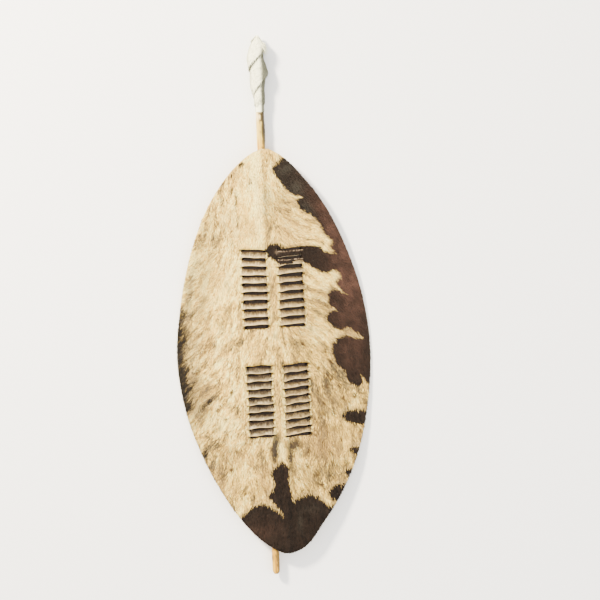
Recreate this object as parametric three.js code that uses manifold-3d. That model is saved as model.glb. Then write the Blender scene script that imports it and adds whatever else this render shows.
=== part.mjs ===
// A hair-on cowhide shield: a pointed oval of hide, slit in four columns, laced with dark hide
// strips that hold a peeled stick against its back, with a white fur strip wound round the stick's top.
// Millimetres, +Z up. The shield lies on its back, hair side up, with its top tip towards +Y.
// The stick lies under the hide, and the hide curves down on both sides of it to the ground.
import * as THREE from 'three';
import { mergeVertices } from 'three/addons/utils/BufferGeometryUtils.js';
import Module from 'manifold-3d';

const wasm = await Module();
wasm.setup();

// Hide
const hideLength = 700;
const hideThickness = 3;
// Its edge, as half widths in shares of hideLength, at every 15 degrees of the angle whose
// cosine runs from the top tip to the bottom tip.
const leftEdge = [0, 0.042, 0.097, 0.152, 0.196, 0.228, 0.246, 0.234, 0.198, 0.149, 0.096, 0.043, 0];
const rightEdge = [0, 0.041, 0.088, 0.142, 0.187, 0.22, 0.232, 0.219, 0.189, 0.141, 0.085, 0.043, 0];
const hideLean = 1.8; // degrees between the hide's long axis and the stick
const hideOffset = 13.7; // from the stick to the hide's middle, at the hide's middle
const tipBendStart = 0.52; // share of the half length where the tips start to bend back to the stick
const hideColumns = 14;
const hideRows = 32;

// Slits. They leave bars of hide, by turns proud in front of the lace and pressed back behind it.
const slitLength = 43;
const pressedBars = 10; // in each column
const proudBarRise = 1.4;
const proudBarSlope = 5; // length over which a proud bar rises at each end
const barThickness = 2.2; // the bars are stretched thinner than the hide
const columnSpacing = 62.8; // between the middles of a pair of columns
const lacingLean = 0.8; // degrees between the columns and the stick
const upperBlock = { middle: 109, pitch: 14.6, pressedHeight: 6 };
const lowerBlock = { middle: -85.5, pitch: 13.4, pressedHeight: 4.4 };

// Laces
const laceWidth = 36;
const laceThickness = 1.8;
const laceTail = 12; // beyond the last bar, behind the hide
const bandWidth = 16; // the lace is cut narrower where it crosses behind the stick
const bandGap = 4; // from the last bar to the band

// Stick
const stickTopRadius = 7.4;
const stickBottomRadius = 6.2;
const stickBelowMiddle = 385; // from the hide's middle to the stick's bottom end
const stickAboveMiddle = 526;
const stickEndFlat = 3.2; // radius of the flat cut across the bottom end
const stickEndRounding = 6;
const stickSides = 12;
const stickSteps = 17;
const stickWobble = 0.5; // how far the peeled branch's radius swells and narrows

// Fur wrap on the stick's top
const wrapAboveStick = 21; // how far it closes over the stick's top
const wrapLength = 133;
const wrapUnder = 13; // how far it stands below the stick's axis, pressed flat by the weight
const wrapTurns = 2.8;
const wrapStartTurn = 0.41; // share of a turn by which the strip's end is already wound at the top
const wrapStep = 3.6; // height of the step where a turn lies on the turn below it
const wrapSides = 20;
const wrapRows = 26;
// Its half width to the left, to the right and upward, from its top to its lower end.
const wrapLeft = [4, 9.5, 18, 20.5, 17.5, 17, 17, 14.5, 10.3, 9.4, 9];
const wrapRight = [5, 10.5, 10.5, 11.5, 14.5, 16, 13.5, 10.5, 10, 9.4, 9];
const wrapFront = [4, 12, 16, 16, 15.5, 15.5, 14, 12, 10.5, 9.4, 9];

const clearance = 0.3;
const degrees = Math.PI / 180;

// Heights
const stickAxis = wrapUnder;
const pressedBarFront = -(laceThickness + 2 * clearance);
const pressedBarBack = pressedBarFront - barThickness;
const spineHeight = stickAxis + stickTopRadius + clearance - pressedBarBack;

const hideMaterial = new THREE.MeshStandardMaterial({ color: 0xd9c6a0, roughness: 0.8, metalness: 0 });
const laceMaterial = new THREE.MeshStandardMaterial({ color: 0x3d2c20, roughness: 0.7, metalness: 0 });
const stickMaterial = new THREE.MeshStandardMaterial({ color: 0xd6a866, roughness: 0.55, metalness: 0 });
const furMaterial = new THREE.MeshStandardMaterial({ color: 0xf1efe4, roughness: 0.9, metalness: 0 });

// Closed mesh to solid and back
function toSolid(geometry) {
  const bare = geometry.clone();
  bare.deleteAttribute('normal');
  bare.deleteAttribute('uv');
  const merged = mergeVertices(bare, 1e-4);
  const corners = merged.index.array;
  const triangles = [];
  for (let i = 0; i < corners.length; i += 3) {
    const [a, b, c] = [corners[i], corners[i + 1], corners[i + 2]];
    if (a !== b && b !== c && c !== a) triangles.push(a, b, c);
  }
  return new wasm.Manifold(new wasm.Mesh({
    numProp: 3,
    vertProperties: new Float32Array(merged.attributes.position.array),
    triVerts: new Uint32Array(triangles),
  }));
}

function toGeometry(solid) {
  const mesh = solid.getMesh();
  const geometry = new THREE.BufferGeometry();
  const points = new Float32Array(mesh.numVert * 3);
  for (let i = 0; i < mesh.numVert; i++) {
    for (let k = 0; k < 3; k++) points[3 * i + k] = mesh.vertProperties[mesh.numProp * i + k];
  }
  geometry.setAttribute('position', new THREE.BufferAttribute(points, 3));
  geometry.setIndex(new THREE.BufferAttribute(new Uint32Array(mesh.triVerts), 1));
  geometry.computeVertexNormals();
  return geometry;
}

// Moves every vertex of a geometry to where place(point) puts it.
function reshape(geometry, place) {
  const positions = geometry.attributes.position;
  const point = new THREE.Vector3();
  for (let i = 0; i < positions.count; i++) {
    point.fromBufferAttribute(positions, i);
    place(point);
    positions.setXYZ(i, point.x, point.y, point.z);
  }
  return geometry;
}

function alongCurve(values, share) {
  const curve = new THREE.SplineCurve(values.map((value, i) => new THREE.Vector2(i, value)));
  return curve.getPoint(Math.min(1, Math.max(0, share))).y;
}

// Turns a point from a frame that leans by some degrees, about the hide's middle, to the stick's frame.
function lean(point, angle) {
  const cosine = Math.cos(angle * degrees);
  const sine = Math.sin(angle * degrees);
  const { x, y } = point;
  point.x = hideOffset + x * cosine - y * sine;
  point.y = x * sine + y * cosine;
  return point;
}

// Height of the hide's back above the ground, at a point in the stick's frame.
// Both sides reach the ground at the hide's widest.
function hideBack(x, y) {
  const cosine = Math.cos(hideLean * degrees);
  const sine = Math.sin(hideLean * degrees);
  const across = (x - hideOffset) * cosine + y * sine;
  const along = -(x - hideOffset) * sine + y * cosine;
  const widest = hideLength * Math.max(...(across < 0 ? leftEdge : rightEdge));
  const towardsTip = Math.abs(along) / (hideLength / 2);
  const bend = THREE.MathUtils.smoothstep(towardsTip, tipBendStart, 1);
  return spineHeight * (1 - (across / widest) ** 2) + pressedBarBack * bend;
}

// Lifts a geometry that was made on the plane z = 0 onto the hide's back.
function drape(geometry) {
  return reshape(geometry, (point) => {
    point.z += hideBack(point.x, point.y);
  });
}

// Every pressed bar's middle in one column, from the top, in the lacing's frame
function pressedBarMiddles(block) {
  const first = block.middle + (block.pitch * (pressedBars - 1)) / 2;
  return Array.from({ length: pressedBars }, (_, k) => first - k * block.pitch);
}

function columnMiddles() {
  return [-columnSpacing / 2, columnSpacing / 2];
}

// A tool that cuts one column's window, from above the first bar to below the last
function windowTool(x, block) {
  const height = block.pitch * (pressedBars - 1) + block.pressedHeight + 2 * clearance;
  const box = new THREE.BoxGeometry(slitLength, height, 4 * spineHeight);
  box.translate(x, block.middle, 0);
  return toSolid(reshape(box, (point) => lean(point, lacingLean)));
}

// A bar of hide across a window. level is its back's height where it passes the lace, and
// halfSpan is half the length that lies at that level.
function makeBar(x, y, height, level, halfSpan) {
  const inset = (hideThickness - barThickness) / 2;
  const half = slitLength / 2;
  const root = half + hideThickness / 2;
  const drop = level < 0 ? 0.5 * barThickness : 0;
  const front = [
    [root, inset + barThickness],
    [half - inset, inset + barThickness],
    [halfSpan, level + barThickness],
  ];
  const back = [
    [halfSpan + drop, level],
    [half + inset, inset],
    [root, inset],
  ];
  const mirrored = (points) => points.map(([px, pz]) => [-px, pz]).reverse();
  const outline = [...front, ...mirrored(front), ...mirrored(back), ...back];
  const shape = new THREE.Shape(outline.map(([px, pz]) => new THREE.Vector2(px, pz)));
  const bar = new THREE.ExtrudeGeometry(shape, { depth: height, bevelEnabled: false });
  bar.rotateX(Math.PI / 2);
  bar.translate(x, y + height / 2, 0);
  return toSolid(drape(reshape(bar, (point) => lean(point, lacingLean))));
}

function makeHide() {
  const sheet = new THREE.BoxGeometry(1, 1, hideThickness, hideColumns, hideRows, 1);
  reshape(sheet, (point) => {
    const share = 0.5 - point.y;
    const edge = point.x < 0 ? leftEdge : rightEdge;
    point.x = 2 * Math.abs(point.x) * hideLength * alongCurve(edge, share) * Math.sign(point.x);
    point.y = (hideLength / 2) * Math.cos(share * Math.PI);
    point.z += hideThickness / 2;
    lean(point, hideLean);
  });
  let hide = toSolid(drape(sheet));
  for (const block of [upperBlock, lowerBlock]) {
    const proudHeight = block.pitch - block.pressedHeight - 2 * clearance;
    for (const x of columnMiddles()) {
      hide = hide.subtract(windowTool(x, block));
      pressedBarMiddles(block).forEach((y, k) => {
        const halfSpan = laceWidth / 2 + clearance;
        hide = hide.add(makeBar(x, y, block.pressedHeight, pressedBarBack, halfSpan));
        if (k === 0) return;
        const level = hideThickness + proudBarRise - barThickness;
        const between = y + block.pitch / 2;
        hide = hide.add(makeBar(x, between, proudHeight, level, slitLength / 2 - proudBarSlope));
      });
    }
  }
  return toGeometry(hide);
}

// A strip of lace that runs straight behind the hide, between two heights in the lacing's frame
function laceStrip(x, bottom, top) {
  const strip = new THREE.BoxGeometry(laceWidth, top - bottom, laceThickness, 4, 4, 1);
  strip.translate(x, (top + bottom) / 2, -clearance - laceThickness / 2);
  return toSolid(drape(reshape(strip, (point) => lean(point, lacingLean))));
}

// A closed outline of even thickness about an open path
function ribbon(path, thickness) {
  const sides = [1, -1].map((side) => path.map((point, i) => {
    const before = path[Math.max(0, i - 1)];
    const after = path[Math.min(path.length - 1, i + 1)];
    const direction = after.clone().sub(before).normalize();
    return new THREE.Vector2(-direction.y, direction.x).multiplyScalar((side * thickness) / 2).add(point);
  }));
  return new THREE.Shape([...sides[0], ...sides[1].reverse()]);
}

// The angle, seen from the stick's axis, where a straight pull from a point meets the band's circle
function tangentAngle(point, circle, side) {
  const away = point.clone().sub(circle.centre);
  return Math.atan2(away.y, away.x) + side * Math.acos(circle.radius / away.length());
}

// The lace's crossing, tight under the stick from the left strip to the right strip
function laceBand(y) {
  const radius = stickRadius(y) + stickWobble + clearance + laceThickness / 2;
  const circle = { centre: new THREE.Vector2(0, stickAxis), radius };
  const onStrip = (x, share) => {
    const at = lean(new THREE.Vector3(x + share * laceWidth, y, 0), lacingLean);
    return new THREE.Vector2(at.x, hideBack(at.x, y) - clearance - laceThickness);
  };
  const [left, right] = columnMiddles();
  const start = [onStrip(left, -0.4), onStrip(left, 0), onStrip(left, 0.25)];
  const end = [onStrip(right, -0.25), onStrip(right, 0), onStrip(right, 0.4)];
  const from = tangentAngle(start[2], circle, 1);
  const to = tangentAngle(end[0], circle, -1) + 2 * Math.PI;
  const arcSteps = 6;
  const arc = Array.from({ length: arcSteps + 1 }, (_, i) => {
    const angle = from + ((to - from) * i) / arcSteps;
    return new THREE.Vector2(Math.cos(angle), Math.sin(angle)).multiplyScalar(radius).add(circle.centre);
  });
  const shape = ribbon([...start, ...arc, ...end], laceThickness);
  const band = new THREE.ExtrudeGeometry(shape, { depth: bandWidth, bevelEnabled: false });
  band.rotateX(Math.PI / 2);
  band.translate(0, y + bandWidth / 2, 0);
  return toSolid(band);
}

// One lace: down one column, behind the stick and along the other. outward is 1 where it crosses above its block.
function makeLace(block, outward) {
  const middles = pressedBarMiddles(block);
  const outer = outward > 0 ? middles[0] : middles[middles.length - 1];
  const inner = outward > 0 ? middles[middles.length - 1] : middles[0];
  const innerEnd = inner - outward * (block.pressedHeight / 2 + laceTail);
  const bandMiddle = outer + outward * (block.pressedHeight / 2 + bandGap + bandWidth / 2);
  const outerEnd = bandMiddle + (outward * bandWidth) / 2;
  let lace = laceBand(bandMiddle);
  for (const x of columnMiddles()) {
    lace = lace.add(laceStrip(x, Math.min(innerEnd, outerEnd), Math.max(innerEnd, outerEnd)));
  }
  return toGeometry(lace);
}

function stickRadius(y) {
  const share = (y + stickBelowMiddle) / (stickBelowMiddle + stickAboveMiddle);
  return stickBottomRadius + (stickTopRadius - stickBottomRadius - stickWobble) * share;
}

function makeStick() {
  const bottom = -stickBelowMiddle;
  const profile = [
    new THREE.Vector2(0, bottom),
    new THREE.Vector2(stickEndFlat, bottom),
    new THREE.Vector2(0.85 * stickBottomRadius, bottom + stickEndRounding / 3),
  ];
  for (let i = 0; i <= stickSteps; i++) {
    const low = bottom + stickEndRounding;
    const y = low + ((stickAboveMiddle - low) * i) / stickSteps;
    const swelling = stickWobble * Math.sin(i * 2.4) * (i % 3 === 0 ? 1 : 0.3);
    profile.push(new THREE.Vector2(stickRadius(y) + swelling, y));
  }
  profile.push(new THREE.Vector2(0, stickAboveMiddle));
  return new THREE.LatheGeometry(profile, stickSides).translate(0, 0, stickAxis);
}

// How far round and down a wound strip is between its upper edge, 0, and its lower edge, 1
function windingShare(angle, down) {
  const turns = wrapTurns * down - angle / (2 * Math.PI) + wrapStartTurn;
  return turns - Math.floor(turns);
}

function makeWrap() {
  const bore = stickTopRadius + 2 * clearance;
  const top = stickAboveMiddle + wrapAboveStick;
  const outside = [new THREE.Vector2(0, top)];
  for (let i = 1; i <= wrapRows; i++) outside.push(new THREE.Vector2(1, top - (wrapLength * i) / wrapRows));
  const inside = [
    new THREE.Vector2(bore, top - wrapLength),
    new THREE.Vector2(bore, stickAboveMiddle + clearance),
    new THREE.Vector2(0, stickAboveMiddle + clearance),
  ];
  const wrap = new THREE.LatheGeometry([...outside, ...inside].reverse(), wrapSides);
  reshape(wrap, (point) => {
    const fromAxis = Math.hypot(point.x, point.z);
    if (Math.abs(fromAxis - 1) > 0.01) return;
    const down = (top - point.y) / wrapLength;
    const angle = Math.atan2(point.z, point.x);
    const sideways = Math.abs(Math.cos(angle)) * alongCurve(point.x < 0 ? wrapLeft : wrapRight, down);
    const upward = Math.abs(Math.sin(angle)) * alongCurve(wrapFront, down);
    const slack = THREE.MathUtils.smoothstep(1 - down, 0.08, 0.5);
    const step = wrapStep * slack * (windingShare(angle, down) - 0.6);
    const radius = Math.max(bore + 1, Math.hypot(sideways, upward) + step);
    point.x = radius * Math.cos(angle);
    point.z = Math.max(-wrapUnder, radius * Math.sin(angle));
  });
  return wrap.translate(0, 0, stickAxis);
}

function piece(name, geometry, material) {
  const mesh = new THREE.Mesh(geometry, material);
  mesh.name = name;
  return mesh;
}

const shield = new THREE.Group();
shield.add(
  piece('hide', makeHide(), hideMaterial),
  piece('lace_upper', makeLace(upperBlock, 1), laceMaterial),
  piece('lace_lower', makeLace(lowerBlock, -1), laceMaterial),
  piece('stick', makeStick(), stickMaterial),
  piece('fur_wrap', makeWrap(), furMaterial),
);

// The origin is at the middle of the shield's outline, on the ground.
const box = new THREE.Box3().setFromObject(shield);
const middle = box.getCenter(new THREE.Vector3());
shield.position.set(-middle.x, -middle.y, -box.min.z);

export default shield;
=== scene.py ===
import math

import bpy
import numpy as np
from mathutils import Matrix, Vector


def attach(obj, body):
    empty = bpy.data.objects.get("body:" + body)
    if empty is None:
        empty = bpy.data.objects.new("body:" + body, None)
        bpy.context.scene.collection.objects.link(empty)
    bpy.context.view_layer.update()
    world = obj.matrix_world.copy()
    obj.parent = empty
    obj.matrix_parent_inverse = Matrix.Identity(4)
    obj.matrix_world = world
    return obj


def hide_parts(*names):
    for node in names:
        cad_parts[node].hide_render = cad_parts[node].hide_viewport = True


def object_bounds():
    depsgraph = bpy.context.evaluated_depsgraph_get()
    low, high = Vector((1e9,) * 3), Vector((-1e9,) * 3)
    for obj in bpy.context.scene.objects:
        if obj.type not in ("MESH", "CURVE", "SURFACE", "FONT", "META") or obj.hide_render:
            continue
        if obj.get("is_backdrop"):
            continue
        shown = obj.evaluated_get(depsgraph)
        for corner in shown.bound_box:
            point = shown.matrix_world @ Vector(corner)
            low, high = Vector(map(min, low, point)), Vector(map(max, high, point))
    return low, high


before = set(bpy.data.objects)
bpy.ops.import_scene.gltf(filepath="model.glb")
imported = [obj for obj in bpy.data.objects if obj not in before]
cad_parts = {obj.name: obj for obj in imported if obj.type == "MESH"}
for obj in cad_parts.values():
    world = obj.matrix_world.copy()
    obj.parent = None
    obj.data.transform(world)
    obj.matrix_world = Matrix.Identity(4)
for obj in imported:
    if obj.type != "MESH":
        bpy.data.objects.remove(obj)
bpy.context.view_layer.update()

# Everything below is in millimetres in the frame of the CAD model, and goes to metres when it is stored.
mm = 0.001

# The shape that the pieces share

hide = {
    "length": 700.0,
    "middle": (4.9, -81.0),
    "lean": 1.8,  # degrees between the hide and the stick
    "leftEdge": [0, 0.042, 0.097, 0.152, 0.196, 0.228, 0.246, 0.234, 0.198, 0.149, 0.096, 0.043, 0],
    "rightEdge": [0, 0.041, 0.088, 0.142, 0.187, 0.22, 0.232, 0.219, 0.189, 0.141, 0.085, 0.043, 0],
    "thickness": 2.6,
    "front": 3.0,  # the hair side's skin above the back
    "spineHeight": 25.3,
    "tipBend": -4.6,
    "tipBendStart": 0.52,
    "stickRidge": 1.1,  # how far the stick pushes the hide up
    "ridgeReach": 8.0,  # to each side of the stick
    # Where the ridge comes up: above the lacings, below them and between them
    "ridgeAbove": (178, 200),
    "ridgeBelow": (150, 175),
    "ridgeBetween": ((-15, 5), (-35, -15)),
    "waveEnd": 165.0,  # from the middle, where the hide's slow waves die out
    "waves": (0.55, 0.35),
}

lacing = {
    "lean": 0.8,  # degrees between the columns and the stick
    "columns": (-31.4, 31.4),
    "slitLength": 43.0,
    "bars": 10,
    "blocks": (
        {"middle": 109.0, "pitch": 14.6, "pressed": 6.0},
        {"middle": -85.5, "pitch": 13.4, "pressed": 4.4},
    ),
    "proudRise": 3.5,
    "proudEnd": 0.24,  # the share of half a slit over which a proud bar climbs
    "pleatFall": 0.92,  # how far a proud bar's upper edge falls back behind its lower edge
    "pressedDrop": 5.0,
    "pressedEnd": 0.09,
    "knifeGap": 0.25,
    "unsteady": (0.35, 0.75),  # how far the knife wavered, in each block
    "wedge": (0.36, 1.08),  # how open the right columns' gaps are at their left end and beyond it
    "fade": 16.0,  # above and below a block, over which the cuts' shifts die out
    "sideWander": 3.2,
    # The slits are cut by hand. For each block and column: the degrees by which the first and the last slit
    # climb to the right, and how much wider or narrower than even each dark gap is, from the top.
    "climb": (((-5.0, 1.1), (2.4, 1.2)), ((0.8, 2.4), (3.4, 5.6))),
    "wider": (
        (
            (-2.0, -0.9, -0.2, -2.2, -0.2, -0.6, 1.1, -1.1, -0.4, 1.2),
            (-1.8, -1, 0, 0, -0.3, -0.7, -0.3, -1.6, -1.2, -1.1),
        ),
        (
            (-1.2, -1.5, -1.2, -1.4, -1.2, -1.3, 0.2, -0.8, -1.6, -0.4),
            (-0.2, 0, -0.2, 1, -0.5, -0.8, -1.3, -0.1, -1, 0.4),
        ),
    ),
}

stick = {
    "x": -8.8,
    "height": 13.0,
    "bottom": -466.0,
    "top": 445.0,
    "bottomRadius": 6.2,
    "topRadius": 7.1,
}

photo = {
    "millimetresPerPixel": 1.733,
    "origin": (271.9, 304.3),  # the pixel that shows the middle of the model
    "stickLean": 2.07,  # degrees, to the left
}


def turned(x, y, degrees):
    c, s = math.cos(math.radians(degrees)), math.sin(math.radians(degrees))
    return x * c - y * s, x * s + y * c


def smooth(value, low, high):
    t = np.clip((value - low) / (high - low), 0, 1)
    return t * t * (3 - 2 * t)


def mixed(a, b, share):
    return a + (b - a) * share


def fromLacing(x, y):
    x, y = turned(x, y, lacing["lean"])
    return x + hide["middle"][0], y + hide["middle"][1]


def fromPhoto(points):
    # Photograph pixels to the lacing's frame
    p = np.array(points, float) - photo["origin"]
    c, s = math.cos(math.radians(photo["stickLean"])), math.sin(math.radians(photo["stickLean"]))
    x = photo["millimetresPerPixel"] * (p[:, 0] * c - p[:, 1] * s) - hide["middle"][0]
    y = photo["millimetresPerPixel"] * (-p[:, 0] * s - p[:, 1] * c) - hide["middle"][1]
    return np.column_stack(turned(x, y, -lacing["lean"]))


def throughPoints(values, share):
    values = np.asarray(values, float)
    last = len(values) - 1
    place = np.clip(share, 0, 1) * last
    i = np.minimum(place.astype(int), last - 1)
    t = place - i
    a, b = values[i], values[i + 1]
    before, after = values[np.maximum(i - 1, 0)], values[np.minimum(i + 2, last)]
    u, v = (b - before) / 2, (after - a) / 2
    return (2 * a - 2 * b + u + v) * t**3 + (-3 * a + 3 * b - 2 * u - v) * t**2 + u * t + a


def patternNoise(x, y, cell, seed):
    # Smooth random values from 0 to 1, one to each cell
    table = np.random.default_rng(seed).random((256, 256))
    gx, gy = x / cell, y / cell
    i, j = np.floor(gx).astype(int), np.floor(gy).astype(int)
    fx, fy = gx - i, gy - j
    fx, fy = fx * fx * (3 - 2 * fx), fy * fy * (3 - 2 * fy)

    def corner(a, b):
        return table[(i + a) % 256, (j + b) % 256]

    return mixed(mixed(corner(0, 0), corner(1, 0), fx), mixed(corner(0, 1), corner(1, 1), fx), fy)


def edgeAt(y, side):
    # The hide's outline, as x against y in the lacing's frame
    share = np.linspace(0, 1, 600)
    half = hide["length"] * throughPoints(hide["leftEdge"] if side < 0 else hide["rightEdge"], share)
    along = hide["length"] / 2 * np.cos(share * np.pi)
    ex, ey = turned(side * half, along, hide["lean"] - lacing["lean"])
    order = np.argsort(ey)
    return np.interp(y, ey[order], ex[order])


def backHeight(x, y):
    across, along = turned(x, y, lacing["lean"] - hide["lean"])
    widest = hide["length"] * np.where(across < 0, max(hide["leftEdge"]), max(hide["rightEdge"]))
    bend = smooth(np.abs(along) / (hide["length"] / 2), hide["tipBendStart"], 1.0)
    return hide["spineHeight"] * (1 - (across / widest) ** 2) + hide["tipBend"] * bend


def blockTop(block):
    return block["middle"] + (block["pitch"] * (lacing["bars"] - 1) + block["pressed"]) / 2


def slitEdges(block):
    # The slit edges of one column, as distances down from the first one, two to a dark gap
    count = np.arange(2 * lacing["bars"])
    return count // 2 * block["pitch"] + count % 2 * block["pressed"]


def barPlace(x, y):
    # kind is 1 on a proud bar and 2 on a pressed one. up runs from a bar's lower edge to its upper edge,
    # side from -1 at its left end to 1 at its right end.
    kind, up, side = np.zeros(x.shape, int), np.zeros(x.shape), np.zeros(x.shape)
    for block in lacing["blocks"]:
        pitch, pressedHeight = block["pitch"], block["pressed"]
        down = blockTop(block) - y
        step = np.mod(down, pitch)
        for column in lacing["columns"]:
            s = (x - column) / (lacing["slitLength"] / 2)
            inside = (np.abs(s) < 1) & (down > 0) & (down < slitEdges(block)[-1])
            pressed = inside & (step < pressedHeight)
            proud = inside & ~pressed
            kind[pressed], kind[proud] = 2, 1
            up[pressed] = (1 - step / pressedHeight)[pressed]
            up[proud] = (1 - (step - pressedHeight) / (pitch - pressedHeight))[proud]
            side[inside] = s[inside]
    return kind, up, side


def barLift(x, y):
    kind, up, side = barPlace(x, y)
    room = 1 - np.abs(side)
    pleat = (1 - lacing["pleatFall"] * up**0.8) * (0.84 + 0.16 * smooth(up, 0, 0.16))
    proud = lacing["proudRise"] * pleat * smooth(room, 0, lacing["proudEnd"])
    pressed = -lacing["pressedDrop"] * smooth(room, 0, lacing["pressedEnd"])
    return np.where(kind == 1, proud, np.where(kind == 2, pressed, 0.0))


def slitShift(row, which, number, x):
    # How far up the knife put one edge of a dark gap
    block = lacing["blocks"][row]
    half = lacing["slitLength"] / 2
    side = np.clip((x - lacing["columns"][which]) / half, -1.4, 1.4)
    gap = number // 2
    first, last = lacing["climb"][row][which]
    climb = np.tan(np.radians(mixed(first, last, gap / (lacing["bars"] - 1)))) * side * half
    full = block["pressed"] + np.array(lacing["wider"][row][which])[gap]
    # The right columns' gaps are wedges that open to the right, the left columns' are even.
    openToRight = mixed(*lacing["wedge"], smooth(side, -1, -0.3))
    wedge = openToRight if which else 1 - 0.2 * smooth(np.abs(side), 0.7, 1)
    spread = (full * wedge - block["pressed"]) / 2
    unsteady = lacing["unsteady"][row] * np.sin(x / 5.3 + 2.1 * number)
    return climb + np.where(number % 2 == 0, spread, -spread) + unsteady


def slitWarp(x, y):
    # From the even rows of slits to the ones cut by hand
    up, across = np.zeros(x.shape), np.zeros(x.shape)
    for row, block in enumerate(lacing["blocks"]):
        edges = slitEdges(block)
        down = blockTop(block) - y
        number = np.clip(np.searchsorted(edges, down) - 1, 0, len(edges) - 2)
        share = np.clip((down - edges[number]) / (edges[number + 1] - edges[number]), 0, 1)
        inBlock = smooth(down, -lacing["fade"], 0) * (1 - smooth(down, edges[-1], edges[-1] + lacing["fade"]))
        for which, column in enumerate(lacing["columns"]):
            away = np.abs(x - column) - lacing["slitLength"] / 2
            near = inBlock * (1 - smooth(away, 1.5, 9.5))
            shift = mixed(slitShift(row, which, number, x), slitShift(row, which, number + 1, x), share)
            up += near * shift
            across += near * lacing["sideWander"] * (patternNoise(0.4 * x, y, 9, 29) - 0.5)
    return across, up


def skinHeight(x, y):
    # The hair side of the skin above the ground
    free = np.clip(1 - (x / hide["waveEnd"]) ** 2, 0, 1)
    crossed, slanting = hide["waves"]
    waves = crossed * np.sin(x / 31 + 1.3) * np.sin(y / 47 + 0.4) + slanting * np.sin((x + 1.7 * y) / 38)
    clear = smooth(y, *hide["ridgeAbove"]) + smooth(-y, *hide["ridgeBelow"])
    upper, lower = hide["ridgeBetween"]
    clear += smooth(y, *upper) * smooth(-y, *lower)
    fromStick = fromLacing(x, y)[0] - stick["x"]
    ridge = hide["stickRidge"] * np.exp(-((fromStick / hide["ridgeReach"]) ** 2)) * np.clip(clear, 0, 1)
    return backHeight(x, y) + hide["front"] + barLift(x, y) + waves * free + ridge


def placed(x, y, z):
    across, up = slitWarp(x, y)
    px, py = fromLacing(x + across, y + up)
    return np.column_stack((px, py, z))


# Mesh helpers


def deselectAll():
    if bpy.context.object and bpy.context.object.mode != "OBJECT":
        bpy.ops.object.mode_set(mode="OBJECT")
    bpy.ops.object.select_all(action="DESELECT")


def selectOnly(piece):
    deselectAll()
    piece.select_set(True)
    bpy.context.view_layer.objects.active = piece


def vertexArray(piece):
    flat = np.empty(len(piece.data.vertices) * 3, np.float32)
    piece.data.vertices.foreach_get("co", flat)
    return flat.reshape(-1, 3).astype(float)


def makeGrid(name, columns, rows):
    # A grid to be shaped, with each vertex's column and row
    deselectAll()
    bpy.ops.mesh.primitive_grid_add(x_subdivisions=columns, y_subdivisions=rows, size=2)
    made = bpy.context.object
    made.name = made.data.name = name
    flat = vertexArray(made)
    i = np.rint((flat[:, 0] + 1) / 2 * columns).astype(int)
    j = np.rint((flat[:, 1] + 1) / 2 * rows).astype(int)
    return made, i, j


def placeVertices(piece, points):
    piece.data.vertices.foreach_set("co", (np.asarray(points) * mm).astype(np.float32).ravel())
    piece.data.update()


def editAll(piece, *steps):
    selectOnly(piece)
    bpy.ops.object.mode_set(mode="EDIT")
    bpy.ops.mesh.select_all(action="SELECT")
    for step in steps:
        step()
    bpy.ops.object.mode_set(mode="OBJECT")


def closeSeams(distance=0.02):
    bpy.ops.mesh.remove_doubles(threshold=distance * mm)


def faceOut():
    bpy.ops.mesh.normals_make_consistent(inside=False)


def capEnds():
    closeSeams(0.01)
    bpy.ops.mesh.select_all(action="DESELECT")
    bpy.ops.mesh.select_mode(type="EDGE")
    bpy.ops.mesh.select_non_manifold()
    bpy.ops.mesh.fill_holes(sides=0)
    bpy.ops.mesh.select_all(action="SELECT")
    faceOut()
    bpy.ops.mesh.select_mode(type="VERT")


def applyModifier(piece, kind, **settings):
    selectOnly(piece)
    modifier = piece.modifiers.new(kind.title(), kind)
    for key, value in settings.items():
        setattr(modifier, key, value)
    bpy.ops.object.modifier_apply(modifier=modifier.name)


def shadeSmooth(piece, degrees):
    selectOnly(piece)
    bpy.ops.object.shade_smooth_by_angle(angle=math.radians(degrees))


def paint(piece, name, colours):
    layer = piece.data.attributes.new(name, "FLOAT_COLOR", "POINT")
    values = np.ones((len(colours), 4), np.float32)
    values[:, :3] = np.clip(colours, 0, 1)
    layer.data.foreach_set("color", values.ravel())


def addPiece(piece, slot, *nodes):
    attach(piece, "root")
    if nodes:
        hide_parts(*nodes)


def linear(text):
    # An sRGB hex value as linear light
    parts = np.array([int(text[k : k + 2], 16) for k in (1, 3, 5)]) / 255
    return np.where(parts <= 0.04045, parts / 12.92, ((parts + 0.055) / 1.055) ** 2.4)


# Camera, floor and light

studio = {
    "cameraDistance": 6.0,
    "centre": (0.0489, 0.0057),
    "frameWidth": 600 * photo["millimetresPerPixel"] * mm,
    "floor": "#f4f8ff",
    "keyPlace": (-1.75, 1.75, 1.8),
    "keySize": 0.45,
    "keyPower": 455.0,
    "keyColour": "#ffeed2",
    "fillPlace": (1.6, -0.6, 2.2),
    "fillSize": 2.0,
    "fillPower": 43.0,
    "fillColour": "#f8faff",
    "sky": 2.55,
    "skyColour": "#fff6e6",
}

bpy.ops.object.camera_add(
    location=(*studio["centre"], studio["cameraDistance"]),
    rotation=(0, 0, -math.radians(photo["stickLean"])),
)
camera = bpy.context.object
camera.data.sensor_width = 36
camera.data.lens = 36 * studio["cameraDistance"] / studio["frameWidth"]
camera.data.clip_end = 50
bpy.context.scene.camera = camera

for lampName in ("key", "fill"):
    bpy.ops.object.light_add(type="AREA", location=studio[lampName + "Place"])
    lamp = bpy.context.object
    lamp.name = lampName
    lamp.data.size = studio[lampName + "Size"]
    lamp.data.energy = studio[lampName + "Power"]
    lamp.data.color = linear(studio[lampName + "Colour"])
    lamp.rotation_euler = (-lamp.location).to_track_quat("-Z", "Y").to_euler()

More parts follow.
